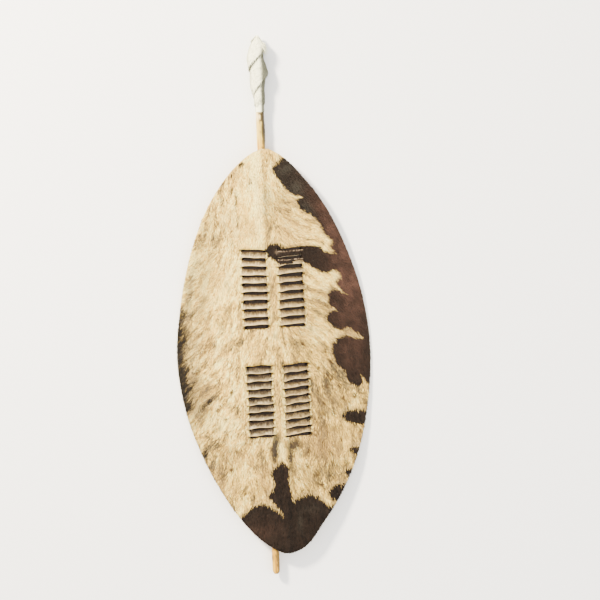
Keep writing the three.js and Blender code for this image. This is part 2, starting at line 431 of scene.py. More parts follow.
world = bpy.data.worlds.new("studioSky")
bpy.context.scene.world = world
world.use_nodes = True
world.node_tree.nodes["Background"].inputs["Color"].default_value = (*linear(studio["skyColour"]), 1)
world.node_tree.nodes["Background"].inputs["Strength"].default_value = studio["sky"]


# Materials


def startMaterial(name, **values):
    material = bpy.data.materials.new(name)
    material.use_nodes = True
    shader = material.node_tree.nodes["Principled BSDF"]
    for key, value in values.items():
        shader.inputs[key.replace("_", " ")].default_value = value
    return material, material.node_tree, shader


def join(tree, source, target, key):
    # A node that is given as the source stands for its first output.
    tree.links.new(getattr(source, "outputs", [source])[0], target.inputs[key])


def joinSurface(tree, shader, colour, relief=None):
    join(tree, colour, shader, "Base Color")
    if relief:
        join(tree, relief, shader, "Normal")


def addNode(tree, kind, links=None, stops=(), **settings):
    # Settings whose names are inputs go to the inputs, the others to the node itself.
    # stops are a colour ramp's places and colours.
    node = tree.nodes.new(kind)
    for key, value in settings.items():
        name = key.replace("_", " ")
        if name in node.inputs:
            node.inputs[name].default_value = value
        else:
            setattr(node, key, value)
    for key, source in (links or {}).items():
        join(tree, source, node, key)
    for number, (place, colour) in enumerate(stops):
        elements = node.color_ramp.elements
        element = elements[number] if number < 2 else elements.new(place)
        element.position = place
        element.color = (*linear(colour), 1)
    return node


multiplied = {"data_type": "RGBA", "blend_type": "MULTIPLY", "Factor": 1.0}

# Cow hair, grown and never clipped: straight and a little oily, so it takes a soft gloss. Its colour comes
# with each lock, and specks of about 1 mm keep two locks from looking the same.
hairMaterial, tree, shader = startMaterial("cowHair", Roughness=0.5, IOR=1.55, Specular_IOR_Level=0.1)
coatColour = addNode(tree, "ShaderNodeAttribute", attribute_name="coat")
place = addNode(tree, "ShaderNodeTexCoord").outputs["Object"]
speck = addNode(tree, "ShaderNodeTexNoise", {"Vector": place}, Scale=900.0, Detail=2.0)
shade = addNode(tree, "ShaderNodeValToRGB", {"Fac": speck}, [(0.3, "#efefef"), (0.7, "#ffffff")])
blend = addNode(tree, "ShaderNodeMix", {6: coatColour, 7: shade}, **multiplied)
joinSurface(tree, shader, blend.outputs[2])

# The hide's skin between the hairs: matt, a little darker than the hair, with pores of about 1.5 mm.
skinMaterial, tree, shader = startMaterial("cowhideSkin", Roughness=0.75, Specular_IOR_Level=0.1)
coatColour = addNode(tree, "ShaderNodeAttribute", attribute_name="coat")
place = addNode(tree, "ShaderNodeTexCoord").outputs["Object"]
pores = addNode(tree, "ShaderNodeTexNoise", {"Vector": place}, Scale=700.0, Detail=4.0)
bump = addNode(tree, "ShaderNodeBump", {"Height": pores}, Strength=0.5, Distance=0.0006)
joinSurface(tree, shader, coatColour, bump)

# The flesh side: rawhide scraped and dried in the sun, with yellow and grey stains 70 mm across and
# fibres 2 mm wide and 16 mm long.
fleshMaterial, tree, shader = startMaterial("scrapedRawhide", Roughness=0.68, IOR=1.5)
place = addNode(tree, "ShaderNodeTexCoord").outputs["Object"]
stain = addNode(tree, "ShaderNodeTexNoise", {"Vector": place}, Scale=14.0, Detail=6.0, Roughness=0.62)
stains = [(0.3, "#a98a5e"), (0.47, "#cdb184"), (0.6, "#dcc79c"), (0.74, "#b99c70")]
tone = addNode(tree, "ShaderNodeValToRGB", {"Fac": stain}, stains)
stretched = addNode(tree, "ShaderNodeMapping", {"Vector": place}, Scale=(420, 60, 60))
fibre = addNode(tree, "ShaderNodeTexNoise", {"Vector": stretched}, Scale=1.0, Detail=5.0)
bump = addNode(tree, "ShaderNodeBump", {"Height": fibre}, Strength=0.7, Distance=0.0008)
joinSurface(tree, shader, tone, bump)

# The knife's cut through the rawhide: pale, matt and clean, with grime about 11 mm across.
cutMaterial, tree, shader = startMaterial("knifeCutRawhide", Roughness=0.7)
place = addNode(tree, "ShaderNodeTexCoord").outputs["Object"]
grime = addNode(tree, "ShaderNodeTexNoise", {"Vector": place}, Scale=90.0, Detail=4.0)
grimes = [(0.32, "#a38c68"), (0.5, "#d6c49b"), (0.7, "#efe2c2")]
tone = addNode(tree, "ShaderNodeValToRGB", {"Fac": grime}, grimes)
joinSurface(tree, shader, tone)

# The laces: strips of dark hide, worked soft and rubbed, so they are a little shiny, with a lengthwise nap
# 1.4 mm wide and 17 mm long.
laceMaterial, tree, shader = startMaterial("softenedHideLace", Roughness=0.5, Specular_IOR_Level=0.2)
place = addNode(tree, "ShaderNodeTexCoord").outputs["Object"]
stretched = addNode(tree, "ShaderNodeMapping", {"Vector": place}, Scale=(700, 60, 300))
nap = addNode(tree, "ShaderNodeTexNoise", {"Vector": stretched}, Scale=1.0, Detail=4.0)
naps = [(0.3, "#0e0805"), (0.55, "#1d120b"), (0.75, "#3a2617")]
tone = addNode(tree, "ShaderNodeValToRGB", {"Fac": nap}, naps)
bump = addNode(tree, "ShaderNodeBump", {"Height": nap}, Strength=0.6, Distance=0.0005)
joinSurface(tree, shader, tone, bump)

# The stick: a green branch, peeled and smoothed by hands, honey-coloured. Its colour, with painted shade on
# its right side and a painted highlight just under the fur, comes with each vertex, and the grain lines on it
# are 2.6 mm apart and 60 mm long.
stickMaterial, tree, shader = startMaterial("peeledBranch", Roughness=0.45, Specular_IOR_Level=0.3)
barkColour = addNode(tree, "ShaderNodeAttribute", attribute_name="wood")
place = addNode(tree, "ShaderNodeTexCoord").outputs["Object"]
stretched = addNode(tree, "ShaderNodeMapping", {"Vector": place}, Scale=(380, 16, 380))
grain = addNode(tree, "ShaderNodeTexNoise", {"Vector": stretched}, Scale=1.0, Detail=5.0, Roughness=0.6)
grains = [(0.3, "#b09260"), (0.45, "#ddcd9f"), (0.62, "#fffdf4")]
tint = addNode(tree, "ShaderNodeValToRGB", {"Fac": grain}, grains)
blend = addNode(tree, "ShaderNodeMix", {6: barkColour, 7: tint}, **multiplied)
bump = addNode(tree, "ShaderNodeBump", {"Height": grain}, Strength=0.4, Distance=0.0005)
joinSurface(tree, shader, blend.outputs[2], bump)

# White fur on its thin skin: bright, soft and matt, with painted greenish-grey shade in the folds, on the
# side away from the light, along its left rim and just above the torn edge.
furMaterial, tree, shader = startMaterial("whiteFurStrip", Roughness=0.7, Specular_IOR_Level=0.15)
furColour = addNode(tree, "ShaderNodeAttribute", attribute_name="coat")
joinSurface(tree, shader, furColour)

# The floor: matt white studio card.
floorMaterial, tree, shader = startMaterial("whiteStudioCard", Roughness=0.9, Specular_IOR_Level=0.1)
shader.inputs["Base Color"].default_value = (*linear(studio["floor"]), 1)

deselectAll()
bpy.ops.mesh.primitive_plane_add(size=14)
floor = bpy.context.object
floor.name = "floor"
floor.data.materials.append(floorMaterial)
floor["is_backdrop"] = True
print("camera, light and materials made")

# The coat's colours

coat = {
    "cream": "#cfaa55",
    "bright": "#f3ce66",
    "white": "#ffec96",
    "tan": "#8b784b",
    "shade": "#504737",
    "rose": "#a3824a",
    "grey": "#3a3329",
    "edge": "#a48c58",  # light hairs beside dark ones
    "freckle": "#4a3722",
    "dark": "#1f1712",
    "darkBlack": "#120e0b",
    "darkSheen": "#3f3e37",
    "darkRed": "#503930",
    "brindle": "#1b1712",
    "brindleGrey": "#5b5142",
    "cut": "#bda472",
    "cutInDark": "#a8937c",
    # From the darkest hair of the light field to its lightest
    "lightScale": ("shade", "tan", "cream", "bright", "white"),
    # How a light hair's place on that scale comes about: its middle, and the shares of the fine and the
    # wide streaks (sleek and loose hair), of the hair's own value and of the broad clouds of tone
    "scaleMiddle": 0.63,
    "fineShare": 0.66,
    "wideShare": (0.6, 0.56),
    "ownShare": 0.6,
    "broadShare": 0.45,
    # Patterns drawn out along the hair: how far, how wide, seed
    "streaks": {
        "fine": (7, 2.0, 21),
        "wide": (14, 5.5, 22),
        "freckle": (5, 3.4, 24),
        "brindle": (8, 2.0, 25),
        "grey": (7, 2.0, 34),
        "clump": (12, 3.2, 31),  # locks that rise together
    },
    # Photograph pixels on the left edge between which dark and light hairs grow mixed
    "brindleTop": (184, 302),
    "brindleFoot": (190, 420),
    "brindleWidth": 14,
    # Broad changes of tone: a photograph pixel, the reach across and along, degrees turned, tone, strength
    "lightPlaces": [
        # The first four places: a painted highlight down the ridge the stick raises and on its lit left side,
        # and painted shade down its right side.
        ((257, 195), (6, 90), 0, "white", 0.6), ((244, 215), (10, 70), 4, "bright", 0.35),
        ((265, 200), (2.6, 75), 0, "shade", 0.45), ((268, 205), (8, 62), 0, "shade", 0.35),
        ((283, 203), (20, 26), 30, "shade", 0.35),
        ((300, 228), (20, 16), 0, "rose", 0.3), ((228, 220), (18, 26), -15, "rose", 0.35),
        ((202, 300), (14, 70), -12, "tan", 0.5), ((190, 290), (9, 60), -12, "shade", 0.7),
        ((204, 238), (8, 44), -22, "shade", 0.5), ((212, 250), (13, 34), -22, "tan", 0.45),
        ((205, 275), (9, 20), -30, "shade", 0.35), ((190, 365), (22, 60), 0, "shade", 0.35),
        ((201, 412), (22, 26), -30, "shade", 0.45), ((198, 400), (13, 20), -30, "grey", 0.45),
        ((258, 437), (26, 12), 0, "shade", 0.45), ((297, 400), (9, 70), 0, "shade", 0.4),
        ((302, 300), (9, 50), 0, "shade", 0.35),
        ((262, 460), (6, 24), 0, "shade", 0.4), ((291, 470), (10, 40), 0, "grey", 0.4),
        ((307, 497), (16, 9), 0, "grey", 0.6), ((335, 465), (16, 18), 0, "shade", 0.35),
        ((218, 300), (16, 60), 0, "bright", 0.3), ((269, 290), (6, 74), 0, "tan", 0.4),
        ((272, 400), (6, 62), 0, "tan", 0.5), ((300, 345), (18, 9), 0, "shade", 0.5),
        ((262, 345), (18, 12), 0, "bright", 0.3), ((215, 452), (36, 46), 30, "shade", 0.3),
        ((196, 420), (10, 26), -25, "freckle", 0.35), ((240, 480), (16, 30), 0, "bright", 0.35),
        ((275, 450), (6, 24), -8, "grey", 1.8), ((294, 445), (14, 9), 0, "grey", 1.5),
        ((282.5, 451), (4, 15), 0, "white", 0.9), ((291, 458), (4, 18), 0, "grey", 1.3),
        ((246, 444), (10, 3), 0, "grey", 0.6), ((318, 300), (16, 22), 0, "tan", 0.3),
        ((310, 355), (16, 24), 0, "bright", 0.3), ((330, 402), (30, 26), 0, "tan", 0.35),
        ((322, 440), (36, 34), 0, "rose", 0.45), ((345, 435), (16, 22), 0, "bright", 0.4),
        ((312, 475), (34, 18), 0, "tan", 0.35), ((226, 492), (20, 18), 40, "rose", 0.3),
        ((275, 336), (4, 5), 0, "freckle", 0.8), ((300, 165), (20, 14), 0, "rose", 0.2),
    ],
    # Among the dark places, the darkSheen ones are a painted sheen, and the narrow darkBlack line near the
    # foot is painted shade in a crease.
    "darkPlaces": [
        ((290, 180), (24, 44), 30, "darkBlack", 0.12), ((305, 255), (30, 12), 0, "darkBlack", 0.3),
        ((286, 171), (14, 12), 30, "darkSheen", 0.42), ((298, 188), (17, 12), 30, "darkSheen", 0.36),
        ((308, 210), (10, 16), 30, "darkSheen", 0.28), ((350, 268), (34, 92), 0, "darkRed", 1.0),
        ((328, 212), (14, 56), 30, "darkRed", 0.75), ((332, 232), (9, 22), 20, "darkRed", 0.5),
        ((352, 352), (22, 34), 0, "darkRed", 0.4), ((262, 532), (30, 22), 0, "darkRed", 0.2),
        ((291, 520), (3.2, 26), 0, "darkBlack", 1.3), ((300, 522), (5, 16), 0, "darkSheen", 0.25),
        ((312, 508), (14, 9), 0, "darkSheen", 0.2), ((277, 252), (3.2, 2.6), 0, "cutInDark", 0.9),
    ],
    # Single dark tufts: a photograph pixel, half the length and the width, degrees turned, how many are dark
    "darkTufts": [
        ((209, 402), (12, 3.4), -48, 0.95), ((203, 409), (10, 3), -42, 0.8), ((198, 415), (9, 3), -35, 0.7),
        ((205, 455), (9, 3.6), -30, 0.95), ((200, 421), (8, 2.5), -35, 0.5), ((197, 311), (9, 2), -35, 0.6),
        ((200, 264), (6, 1.6), -35, 0.6), ((191, 284), (9, 2), -40, 0.6), ((189, 297), (9, 2.4), -40, 0.65),
        ((192, 316), (12, 3), -35, 0.7), ((236, 203), (15, 0.9), -5, 1.0), ((238, 224), (9, 0.8), -3, 1.0),
        ((232, 192), (7, 0.8), -12, 1.0), ((213, 240), (8, 1.2), -30, 0.6), ((215, 346), (6, 1.4), -20, 0.6),
        ((209, 385), (8, 1.5), -30, 0.6), ((202, 434), (7, 1.5), -30, 0.5),
    ],
    # Specks of the lower fields, as photograph pixels, most of them on the right
    "specks": [
        (326, 376), (331, 378), (340, 385), (327, 386), (324, 403), (355, 395), (316, 436), (323, 442),
        (360, 431), (307, 465), (335, 372), (318, 368), (343, 398), (333, 413), (315, 420), (330, 452),
        (318, 473), (341, 440), (309, 450), (322, 484), (303, 345), (311, 352), (325, 351), (331, 362),
        (347, 463), (299, 478), (214, 480), (232, 470), (221, 445), (236, 452), (205, 352), (198, 372),
        (226, 419), (245, 492), (218, 410), (232, 392),
    ],
    "speckReach": (2.3, 3.2),  # across and along
    # Outlines of the dark patches, in the photograph's pixels
    "patches": {
        "rightEdge": [
            (283, 159), (274, 167), (271, 171), (277, 178), (283, 186), (289, 192), (294, 196), (304, 197.5),
            (296, 201), (301, 209), (306, 213), (311, 215), (320, 224), (322, 229), (326, 235), (333, 242),
            (331, 247), (336, 254), (330, 253), (324, 252), (320, 247), (309, 246), (298, 246), (290, 249),
            (283, 246), (275, 244), (267, 246), (263, 250), (268, 256), (274, 260.5), (280, 264.5),
            (292, 264.5), (296, 261), (301, 260), (307, 264), (315, 269), (323, 273), (329, 273),
            (333, 270), (339, 273), (342, 277), (336, 283), (347, 296), (333, 287), (329, 293), (328, 300),
            (330, 307), (338, 310.5), (330, 312), (326, 316), (328, 322), (334, 328), (341, 330),
            (349, 328), (365, 339), (354, 337), (344, 336), (337, 339),
            (332, 345), (333, 354), (337, 365), (346, 372), (346, 377), (350, 384), (360, 388), (363, 384),
            (360, 374), (369, 385), (410, 390), (410, 150), (288, 152),
        ],
        "spotHigh": [(341, 416), (346, 411), (356, 410), (372, 411), (372, 424), (356, 424), (346, 422)],
        "spotMiddle": [(349, 450), (353, 446), (364, 447), (364, 455), (354, 455)],
        "spotLow": [(345, 472), (349, 468), (360, 470), (358, 478), (348, 477)],
        "spotLowest": [(329, 491), (336, 485), (350, 482), (350, 500), (338, 501), (331, 499)],
        "bottom": [
            (282, 463), (277, 465), (274, 469), (271, 473), (273, 478), (275, 484), (272, 491), (268, 498),
            (271, 501), (277, 505), (285, 519), (275, 509), (269, 505.5), (262, 504.5), (254, 506),
            (248, 512), (238, 519), (240, 570), (330, 570), (345, 504), (335, 504), (330, 507), (323, 501),
            (318, 496), (310, 494), (303, 496), (296, 499.5), (293, 500), (291, 491), (289, 479),
            (290, 472), (289, 466),
        ],
        "speckTopLeft": [(239, 164), (243, 165), (242, 169), (239, 168)],
        "speckLeft": [(230, 176), (233, 177), (231, 180)],
        "speckSpine": [(249, 182), (252, 183), (250, 186)],
    },
}
patchOutlines = {name: fromPhoto(points) for name, points in coat["patches"].items()}


def shagginess(x, y):
    # The hair is short and sleek at the top and grows longer and looser downward.
    return np.clip(smooth(-y, -130, 110) * (0.75 + 0.5 * patternNoise(x, y, 45, 13)), 0, 1)


combing = {
    # Degrees outward: by the spine and how many more at the left edge, and at the bottom and top of the right
    "left": (8, 40),
    "right": (10, 56),
    "halfWidth": 165,
    # How far the hair wanders from that: degrees, over how many mm, seed
    "wander": ((28, 30, 11), (34, 11, 12)),
}


def hairHeading(x, y):
    # Which way the hair lies, in degrees from straight down the shield towards its right
    across = x / combing["halfWidth"]
    inner, more = combing["left"]
    left = -(inner + more * smooth(-across, 0.08, 0.95)) * (0.55 + 0.45 * smooth(-np.abs(y - 20), -260, -60))
    rightMost = mixed(*combing["right"], smooth(y, -150, 120))
    right = rightMost * smooth(across, 0.0, 0.22) * (1 - 0.35 * smooth(across, 0.6, 1.0))
    heading = np.where(x < 0, left, right)
    wander = sum(turn * (patternNoise(x, y, cell, seed) - 0.5) for turn, cell, seed in combing["wander"])
    return heading + wander


def headingVector(degrees):
    return np.sin(np.radians(degrees)), -np.cos(np.radians(degrees))


def streaks(x, y, kind):
    # Noise drawn out along the hair, so that neighbouring hairs share a tone
    reach, cell, seed = coat["streaks"][kind]
    total = np.zeros(x.shape)
    steps = 6
    for direction in (-1, 1):
        px, py = x.copy(), y.copy()
        for _ in range(steps):
            dx, dy = headingVector(hairHeading(px, py))
            px, py = px + direction * dx * reach / steps, py + direction * dy * reach / steps
            total += patternNoise(px, py, cell, seed)
    value = total / (2 * steps)
    return np.clip(0.5 + (value - 0.5) * 2.4, 0, 1)


def inOutline(x, y, outline):
    inside = np.zeros(x.shape, bool)
    for (ax, ay), (bx, by) in zip(outline, np.roll(outline, -1, axis=0)):
        crosses = (ay > y) != (by > y)
        inside ^= crosses & (x < (bx - ax) * (y - ay) / (by - ay + 1e-12) + ax)
    return inside


def darkAt(x, y):
    dark = np.zeros(x.shape, bool)
    for outline in patchOutlines.values():
        dark |= inOutline(x, y, outline)
    return dark


def placeWeight(x, y, pixel, reach, degrees):
    # 1 at a place, falling off over its reach across and along
    cx, cy = fromPhoto([pixel])[0]
    across, along = turned(x - cx, y - cy, -degrees)
    return np.exp(-((across / reach[0]) ** 2) - (along / reach[1]) ** 2)


def withPlaces(colours, x, y, places):
    uneven = 0.65 + 0.7 * patternNoise(x, y, 9, 28)
    for pixel, reach, degrees, toneName, strength in places:
        weight = np.clip(strength * placeWeight(x, y, pixel, reach, degrees) * uneven, 0, 1)
        colours = mixed(colours, linear(coat[toneName]), weight[:, None])
    return colours


def brindleAt(x, y):
    # How likely a hair on the left edge is dark
    fromEdge = x - edgeAt(y, -1)
    high, low = fromPhoto([coat["brindleTop"], coat["brindleFoot"]])[:, 1]
    thinning = 0.3 * smooth(y, high - 60, high - 35)
    along = smooth(y, low, low + 22) * (1 - thinning - 0.7 * smooth(y, high - 22, high))
    width = coat["brindleWidth"] + 4 * np.sin(y / 17 + 0.8) * np.sin(y / 31 + 0.4)
    width = width + 7 * (patternNoise(x, y, 14, 37) - 0.5)
    core, fringe = np.exp(-((fromEdge / width) ** 2)), np.exp(-((fromEdge / (2.6 * width)) ** 2))
    edge = along * (0.75 * core + 0.45 * fringe)
    for pixel, (long, wide), degrees, strength in coat["darkTufts"]:
        edge = np.maximum(edge, strength * placeWeight(x, y, pixel, (1.7 * wide, 1.2 * long), degrees))
    return edge


def onScale(value, colours):
    # Colours evenly spaced from 0 to 1
    places = np.linspace(0, 1, len(colours))
    table = np.array(colours)
    return np.stack([np.interp(value, places, table[:, channel]) for channel in range(3)], axis=-1)


def coatColours(x, y, random):
    # The coat's colour at each place, linear. random is one value a place.
    tone = {key: linear(value) for key, value in coat.items() if isinstance(value, str)}
    fine, wide = streaks(x, y, "fine"), streaks(x, y, "wide")
    broad, loose = patternNoise(x, y, 34, 23), shagginess(x, y)
    wideShare = mixed(*coat["wideShare"], loose)
    level = coat["scaleMiddle"] + coat["fineShare"] * (fine - 0.5) + wideShare * (wide - 0.5)
    level += coat["ownShare"] * (random - 0.5) + coat["broadShare"] * (broad - 0.5) - 0.02 * loose
    level += 0.5 * (fine - 0.5) * smooth(-x, 35, 80)
    # Brightest at the upper left, a painted highlight where the light falls, and darker down the right side
    level += 0.24 * smooth(y, 40, 170) * smooth(-x, -10, 35) - 0.18 * smooth(x, 0, 55) * smooth(-y, -100, 70)
    light = onScale(level, [tone[name] for name in coat["lightScale"]])
    light = mixed(light, tone["rose"], 0.3 * smooth(patternNoise(x, y, 30, 26), 0.5, 0.85)[:, None])
    light = withPlaces(light, x, y, coat["lightPlaces"])
    # Where brown hairs are many: down the right side, most at its foot, and along the left margin
    browner = smooth(x, 5, 50) * smooth(-y, -140, 40) + 0.5 * smooth(-x, 60, 130) * smooth(-y, -60, 160)
    browner += 0.35 * smooth(x, 20, 60) * smooth(-y, 100, 160)
    browner += 0.7 * smooth(-x, 62, 105) * smooth(y, -60, 20)
    freckled = smooth(streaks(x, y, "freckle"), 0.97 - 0.19 * browner, 1.04 - 0.17 * browner)
    light = mixed(light, tone["freckle"], (0.65 * freckled * (0.4 + 0.6 * random))[:, None])
    # Dark hairs and light ones grow mixed on the left edge.
    chance = brindleAt(x, y)
    own = 0.9 * (streaks(x, y, "brindle") - 0.5) + 0.5 * (random - 0.5)
    brindled = smooth(chance + own, 0.24, 0.9)
    between = tone["edge"] * (0.5 + 0.7 * fine)[:, None]
    light = mixed(light, between, (0.7 * smooth(chance, 0.1, 0.5))[:, None])
    grey = smooth(streaks(x, y, "grey") - chance, -0.5, 0.5)
    greyed = mixed(tone["brindle"], tone["brindleGrey"], grey[:, None])
    light = mixed(light, greyed, brindled[:, None])
    dark = mixed(tone["dark"], tone["darkBlack"], 0.8 * smooth(1 - fine, 0.4, 0.9)[:, None])
    dark = withPlaces(dark, x, y, coat["darkPlaces"]) * mixed(0.8, 1.25, fine)[:, None]
    mottled = smooth(patternNoise(x, y, 13, 36), 0.45, 0.9)
    mottled += 0.6 * smooth(patternNoise(x, y, 5, 38), 0.55, 0.9)
    dark = mixed(dark, tone["dark"], (0.5 * np.clip(mottled, 0, 1))[:, None])
    return np.where(darkAt(x, y)[:, None], dark, light)


# The bars between the slits

bars = {
    # Each column's hair from a bar's lower edge to its upper edge and on into the gap above it: a painted
    # highlight at the lower edge, darkening into painted shade under the bar above
    "height": 1.35,
    "tones": (
        (
            ("#fbe9bd", "#e0ca98", "#b39d70", "#7c6b49", "#54452f", "#2b2117", "#150f0a"),
            ("#e2cc9b", "#c1aa7b", "#a08b63", "#7a6847", "#4f412c", "#2b2117", "#150f0a"),
        ),
        (
            ("#fff3cf", "#cfbb90", "#85765a", "#564a38", "#3d3327", "#231b13", "#120d09"),
            ("#d6bf90", "#ab9569", "#86734f", "#65563c", "#3e3323", "#231b13", "#120d09"),
        ),
    ),
    "darker": ((0.07, 0.1), (0.1, 0.05)),  # how far along its scale each block's columns start
    "mixing": 0.34,  # how far one hair's tone strays from its neighbours'
    "clouds": (0.3, 0.42),  # how much the tone varies along a bar, above and below
    # Painted shade on the gap's skin, from its lower edge to its upper edge, darkest under the bar above
    "gap": ("#3a2c1d", "#1b140e", "#0c0906"),
    "tuftReach": 4.2,  # of the painted highlights and painted shade in the hollows beside the columns' ends
    "hollowShade": "#3b2d1c",
    # How far the knife's cuts run on past the columns' left and right ends: block, column, mm
    "tails": (((5.5, 1.5), (6.5, 1.5)), ((4.5, 3.0), (4.0, 2.5))),
}


def barTone(x, y, up, random):
    # The tone of the hair on a bar, a painted highlight at its lower edge and painted shade towards its upper
    # edge. up runs from its lower edge at 0 to its upper edge at 1 and beyond.
    clouds = mixed(*bars["clouds"], smooth(-y, -5, 5)) * (patternNoise(x, 1.6 * y, 4.5, 33) - 0.5)
    uneven = bars["mixing"] * (random - 0.5) + clouds
    value = (up + uneven) / bars["height"]
    result = np.zeros((*np.shape(x), 3))
    for row, byColumn in enumerate(bars["tones"]):
        for which, scale in enumerate(byColumn):
            here = ((y < 0) == (row == 1)) & ((x > 0) == (which == 1))
            darker = value + bars["darker"][row][which]
            result = np.where(here[..., None], onScale(darker, [linear(text) for text in scale]), result)
    return result


# The hide

hideGrid = {
    "innerHalf": 60.0,  # half the width about the lacing whose columns run straight down
    "squeezeBelow": 80.0,  # the half width of hide below which those columns close up
    "outerSteps": 16,  # from there to the edge
    "rowStep": 5.0,
    "barRowStep": 1.8,
    "columnStep": 3.4,
    "barColumnStep": 3.0,
    "slitEndSteps": (0.0, 0.9, 2.0, 3.5),
    "endGap": 0.3,  # from the first and the last row to the hide's tips
    "cutShare": 0.12,  # how much of a proud bar's height is the knife's pale cut
}


def spaced(start, end, step):
    count = max(1, int(math.ceil(abs(end - start) / step)))
    return list(np.linspace(start, end, count + 1)[:-1])


def hideRows():
    # The rows of the hide's grid from its top to its bottom, and which of them are slits
    rows, slits = [], []
    tip = hide["length"] / 2 - hideGrid["endGap"]
    y = tip
    for block in lacing["blocks"]:
        top = blockTop(block)
        rows += spaced(y, top, hideGrid["rowStep"])
        edges = slitEdges(block)
        for number in range(len(edges) - 1):
            slits.append(len(rows))
            rows += spaced(top - edges[number], top - edges[number + 1], hideGrid["barRowStep"])
        slits.append(len(rows))
        y = top - edges[-1]
    rows += spaced(y, -tip, hideGrid["rowStep"]) + [-tip]
    return np.array(rows), slits


def hideColumns():
    # The grid's columns about the lacing, and the first and last of each window
    half = lacing["slitLength"] / 2
    *fine, last = hideGrid["slitEndSteps"]
    places, windows = [-hideGrid["innerHalf"]], []
    for column in lacing["columns"]:
        start, end = column - half, column + half
        places += spaced(places[-1], start, hideGrid["columnStep"])[1:]
        first = len(places)
        places += [start + step for step in fine]
        places += spaced(start + last, end - last, hideGrid["barColumnStep"])
        places += [end - step for step in (last, *reversed(fine))]
        windows.append((first, len(places) - 1))
    places += spaced(places[-1], hideGrid["innerHalf"], hideGrid["columnStep"])[1:] + [hideGrid["innerHalf"]]
    return np.array(places), windows


def selectedSlits(piece, columnOf, rowOf, windows, slitRows):
    # Which edges of the grid lie along a slit
    pair = np.empty(len(piece.data.edges) * 2, np.int32)
    piece.data.edges.foreach_get("vertices", pair)
    pair = pair.reshape(-1, 2)
    level = (rowOf[pair[:, 0]] == rowOf[pair[:, 1]]) & np.isin(rowOf[pair[:, 0]], slitRows)
    inWindow = np.zeros(len(pair), bool)
    for first, last in windows:
        inWindow |= (columnOf[pair].min(axis=1) >= first) & (columnOf[pair].max(axis=1) <= last)
    return level & inWindow


def sideOfSlit(piece, flat):
    # Whether the faces round each vertex lie above it or below it
    corners = np.empty(len(piece.data.loops), np.int32)
    piece.data.loops.foreach_get("vertex_index", corners)
    middles = flat[corners].reshape(-1, 4, 3).mean(axis=1).repeat(4, axis=0)
    total, count = np.zeros(len(flat)), np.zeros(len(flat))
    np.add.at(total, corners, middles[:, 1])
    np.add.at(count, corners, 1)
    away = total / count - flat[:, 1]
    return np.where(np.abs(away) > 1e-6, np.sign(away), 0)


rowPlaces, slitRows = hideRows()
innerPlaces, windowColumns = hideColumns()
innerHalf, outerSteps = hideGrid["innerHalf"], hideGrid["outerSteps"]
columnCount = len(innerPlaces) - 1 + 2 * outerSteps
rowCount = len(rowPlaces) - 1
skin, columnOf, rowOf = makeGrid("hideSkin", columnCount, rowCount)
windowColumns = [(first + outerSteps, last + outerSteps) for first, last in windowColumns]
slitRows = [rowCount - row for row in slitRows]

# The slits are cut before the sheet is shaped, so every vertex can still be found by its column and row.
slitLines = selectedSlits(skin, columnOf, rowOf, windowColumns, slitRows)
skin.data.vertices.foreach_set("select", np.zeros(len(skin.data.vertices), bool))
skin.data.polygons.foreach_set("select", np.zeros(len(skin.data.polygons), bool))
selectOnly(skin)
bpy.ops.object.mode_set(mode="EDIT")
bpy.ops.mesh.select_mode(type="EDGE")
bpy.ops.object.mode_set(mode="OBJECT")
skin.data.edges.foreach_set("select", slitLines)
bpy.ops.object.mode_set(mode="EDIT")
bpy.ops.mesh.edge_split(type="EDGE")
bpy.ops.mesh.select_mode(type="VERT")
bpy.ops.object.mode_set(mode="OBJECT")

flat = vertexArray(skin)
columnOf = np.rint((flat[:, 0] + 1) / 2 * columnCount).astype(int)
rowOf = np.rint((flat[:, 1] + 1) / 2 * rowCount).astype(int)
inside = np.zeros(len(flat), bool)
for first, last in windowColumns:
    inside |= (columnOf > first) & (columnOf < last)
step = np.where(np.isin(rowOf, slitRows) & inside, sideOfSlit(skin, flat), 0) * lacing["knifeGap"]
y = rowPlaces[::-1][rowOf] + step
x = np.zeros(len(flat))
innerX = innerPlaces[np.clip(columnOf - outerSteps, 0, len(innerPlaces) - 1)]
for side in (-1, 1):
    reach = np.maximum(np.abs(edgeAt(y, side)), 0.5)
    squeeze = np.minimum(1, reach / hideGrid["squeezeBelow"])
    outward = np.where(side < 0, outerSteps - columnOf, columnOf - outerSteps - len(innerPlaces) + 1)
    share = np.clip(outward / outerSteps, 0, 1)
    own = np.where(outward > 0, side * mixed(innerHalf * squeeze, reach, share), innerX * squeeze)
    x = np.where((np.sign(innerX) == side) | (outward > 0), own, x)
placeVertices(skin, placed(x, y, skinHeight(x, y)))

# The pressed bars take painted shade, darkest under the bar above; the proud bars off the dark patches take
# the painted highlight and shade of their hair, and the knife's cut shows pale along the proud bars.
skinTone = coatColours(x, y, np.random.default_rng(3).random(len(x))) * 0.8
kind, up, _ = barPlace(x, y)
inPatch = darkAt(x, y)
onBar = (kind == 1) & ~inPatch
skinTone = np.where(onBar[:, None], barTone(x, y, up, np.full(len(x), 0.5)), skinTone)
skinTone = np.where((onBar & (up < hideGrid["cutShare"]))[:, None], linear(coat["cut"]), skinTone)
gapShade = onScale(up, [linear(text) for text in bars["gap"]]) * np.where(inPatch, 0.4, 1.0)[:, None]
paint(skin, "coat", np.where((kind == 2)[:, None], gapShade, skinTone))
for material in (skinMaterial, fleshMaterial, cutMaterial):
    skin.data.materials.append(material)
editAll(skin, lambda: closeSeams(0.2))
applyModifier(
    skin, "SOLIDIFY", thickness=hide["thickness"] * mm, offset=-1, material_offset=1, material_offset_rim=2
)
shadeSmooth(skin, 50)
addPiece(skin, "hide", "hide")
print("hide made:", len(skin.data.polygons), "faces")

# The hair

